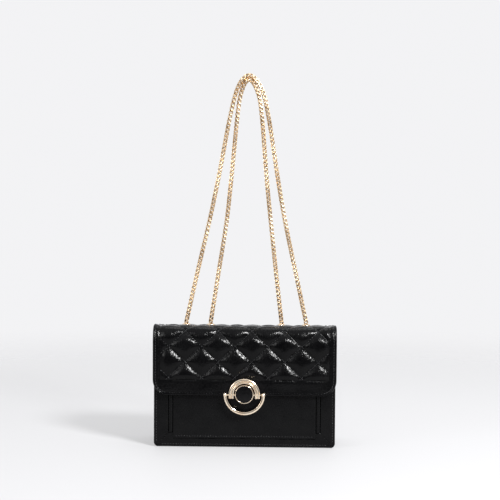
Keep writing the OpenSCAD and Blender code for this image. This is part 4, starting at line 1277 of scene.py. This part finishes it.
arch_section = [(3.0, 0), (3.0, 2.5), (2.85, 3.1), (2.4, 3.65), (1.7, 3.95), (0.9, 4.0), (0.3, 3.85),
                (0.0, 3.6), (-0.1, 3.35), (-0.5, 3.35), (-0.6, 3.7), (-0.85, 4.15), (-1.3, 4.4),
                (-2.1, 4.42), (-2.65, 4.2), (-2.95, 3.7), (-3.0, 3.0), (-3.0, 0)]
turn = np.linspace(0, math.pi, 49)
leg_rows = (-arch_leg, -arch_leg + 0.4, -arch_leg / 2)
arch_path = ([(arch_mid, z) for z in leg_rows]
             + [(arch_mid * math.cos(t), arch_mid * math.sin(t)) for t in turn]
             + [(-arch_mid, z) for z in leg_rows[::-1]])
arch_outward = [(1, 0)] * 3 + [(math.cos(t), math.sin(t)) for t in turn] + [(-1, 0)] * 3
arch_v, arch_f = swept(arch_path, arch_outward, arch_section)
clasp_arch = make_piece("clasp_arch_casting", on_flap(arch_v), arch_f, gold, "flap", "hardware",
                        sharp=50)
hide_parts("clasp_arch")

disc_profile = ([(0, 0), (disc_r, 0), (disc_r, disc_h - 0.8)]
                + arc(disc_r - 0.6, disc_h - 0.6, 0.6, 0, 90, 6)
                + arc(inlay_r + 0.3, disc_h - 0.3, 0.3, 90, 180, 4)
                + [(inlay_r, recess_z), (0, recess_z)])
disc_v, disc_f = lathe(disc_profile, 96)
clasp_disc = make_piece("clasp_disc_bezel", on_flap(disc_v), disc_f, gold, "flap", "hardware")
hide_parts("clasp_disc")

enamel, enamel_tree, enamel_shader = new_finish(
    "black_enamel", {"IOR": 1.36, "Specular IOR Level": 0.25})
enamel_cloud = add_node(enamel_tree, "TexNoise", {"Vector": place_of(enamel_tree, False),
                                                  "Scale": 260, "Detail": 4})
enamel_tree.links.new(ramp_node(enamel_tree, enamel_cloud.outputs["Fac"],
                                [(0.3, (0.002, 0.002, 0.0023)), (0.7, (0.004, 0.004, 0.0043))]),
                      enamel_shader.inputs["Base Color"])
enamel_tree.links.new(ramp_node(enamel_tree, enamel_cloud.outputs["Fac"], [(0.3, 0.08), (0.7, 0.2)]),
                      enamel_shader.inputs["Roughness"])
enamel_tree.links.new(add_node(enamel_tree, "Bump", {
    "Height": enamel_cloud.outputs["Fac"], "Distance": 0.00006}).outputs[0],
    enamel_shader.inputs["Normal"])
inlay_edge, dome_rings, dome_h = inlay_r - 0.03, 12, 0.22
inlay_profile = ([(0, recess_z - 0.05), (inlay_edge, recess_z - 0.05), (inlay_edge, recess_z + 0.2)]
                 + [(inlay_edge - 0.12 - k * 0.81,
                     recess_z + 0.3 + dome_h * (1 - (1 - k / dome_rings) ** 2))
                    for k in range(dome_rings)] + [(0, recess_z + 0.3 + dome_h)])
inlay_v, inlay_f = lathe(inlay_profile, 96)
clasp_inlay = make_piece("clasp_enamel_centre", on_flap(inlay_v), inlay_f, enamel, "flap", "enamel")
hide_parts("clasp_inlay")

pin_v, pin_f = lathe([(0, -pin_half), (0.5, -pin_half), (clasp_pin_r, -pin_half + 0.3),
                      (clasp_pin_r, pin_half - 0.3), (0.5, pin_half), (0, pin_half)], 24)
clasp_pin = make_piece("clasp_cross_pin", on_flap(np.column_stack([
    pin_v[:, 2], pin_v[:, 0] - pin_drop, pin_v[:, 1] + pin_out])), pin_f, gold, "flap", "hardware")
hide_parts("clasp_pin")

ring_mid = ring_out - ring_w / 2
w, t = ring_w / 2, ring_t / 2
ring_section = [(w * math.copysign(abs(math.cos(a)) ** ring_round, math.cos(a)),
                 pin_out + t * math.copysign(abs(math.sin(a)) ** ring_round, math.sin(a)))
                for a in np.linspace(0, 2 * math.pi, 20, endpoint=False)]
turn = np.linspace(math.pi, 2 * math.pi, 61)
ring_path = [(ring_mid * math.cos(t), -ring_drop + ring_mid * math.sin(t)) for t in turn]
ring_outward = [(math.cos(t), math.sin(t)) for t in turn]
ring_v, ring_f = swept(ring_path, ring_outward, ring_section)
knob_profile = [(0, -knob_r)] + [(knob_r * math.cos(a), knob_r * math.sin(a))
                                 for a in np.linspace(-knob_open, knob_open, 15)] + [(0, knob_r)]
knob_v, knob_f = lathe(knob_profile, 32)
ring_parts = [(ring_v, ring_f)]
for side in (-1, 1):
    ring_parts.append((np.column_stack([side * ring_mid + knob_v[:, 2], knob_v[:, 0] - pin_drop,
                                        pin_out + knob_v[:, 1]]), knob_f))
    ring_parts.append((np.column_stack([side * (ring_mid + ear_out) + ear_size * knob_v[:, 2],
                                        ear_size * knob_v[:, 0] - pin_drop + ear_up,
                                        pin_out + ear_size * knob_v[:, 1]]), knob_f))
ring_verts, ring_faces = joined(ring_parts)
clasp_ring = make_piece("clasp_half_ring", on_flap(ring_verts), ring_faces, gold, "ring",
                        "hardware", sharp=60)
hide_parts("clasp_ring")

# ---------------------------------------------------------------- hidden parts
# Boards keep the walls flat, and steel plates, rivets and magnets sit under the leather. They are
# seen only where the bag is open or taken apart.
fibre, fibre_in, fibre_out = new_effect(
    "pressed_fibre",
    [("Place", "NodeSocketVector", None), ("Light", "NodeSocketColor", (1, 1, 1, 1)),
     ("Dark", "NodeSocketColor", (0, 0, 0, 1))],
    [("Colour", "NodeSocketColor"), ("Roughness", "NodeSocketFloat"),
     ("Height", "NodeSocketFloat")])
fibre_long = add_node(fibre, "Mapping", {"Vector": fibre_in.outputs["Place"], "Scale": (1, 1, 3)})
fibre_noise = add_node(fibre, "TexNoise", {"Vector": fibre_long.outputs[0], "Scale": 700, "Detail": 6})
fibre_speck = add_node(fibre, "TexVoronoi", {"Vector": fibre_in.outputs["Place"], "Scale": 500})
fibre.links.new(mix_colours(fibre, fibre_noise.outputs["Fac"], fibre_in.outputs["Dark"],
                            fibre_in.outputs["Light"]), fibre_out.inputs["Colour"])
fibre.links.new(add_node(fibre, "MapRange", {"Value": fibre_speck.outputs["Distance"],
                                             "To Min": 0.7, "To Max": 0.95}).outputs[0],
                fibre_out.inputs["Roughness"])
fibre.links.new(fibre_noise.outputs["Fac"], fibre_out.inputs["Height"])


def fibre_finish(name, light, dark, bump):
    """A pressed board or foam finish."""
    finish, tree, shader = new_finish(name, {"IOR": 1.4})
    use_effect(tree, shader, fibre, {"Place": place_of(tree, False), "Light": (*light, 1),
                                     "Dark": (*dark, 1)},
               {"Colour": "Base Color", "Roughness": "Roughness"}, bump)
    return finish


bag_board = fibre_finish("bag_board", (0.45, 0.40, 0.34), (0.27, 0.24, 0.20), 0.00008)
steel = plated("bare_steel", (0.56, 0.56, 0.58), (0.42, 0.42, 0.44), 0.25, 0.45, 0.00002)
for finish, nodes in (
        (bag_board, ("base_board", "front_board", "back_board", "top_board")),
        (steel, ("flap_magnet", "body_magnet", "clasp_washer", "clasp_rivets"))):
    for node in nodes:
        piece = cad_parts[node]
        piece.data.materials.clear()
        piece.data.materials.append(finish)

top_front_y, top_back_y, wall_x, top_cloth_t = fold_y + 1.5, 31.5, 102.4, 0.5
top_spine = straight((0, top_front_y, washer_z), (0, top_back_y, washer_z), 20)
top_cloth, _ = sew_panel(
    "top_cloth", top_spine, (0, 0, -1), (1, 0, 0), -wall_x, wall_x,
    lambda s, a: -0.1 + 0.05 * ripple(a, s, 15, 9, 111), top_cloth_t, lining_cloth, "root",
    "lining", spacing=1.0, rim=0.2,
    holes=[(chain_y - top_front_y, x, eyelet_hole_r) for x in eyelet_xs])
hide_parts("top_lining")
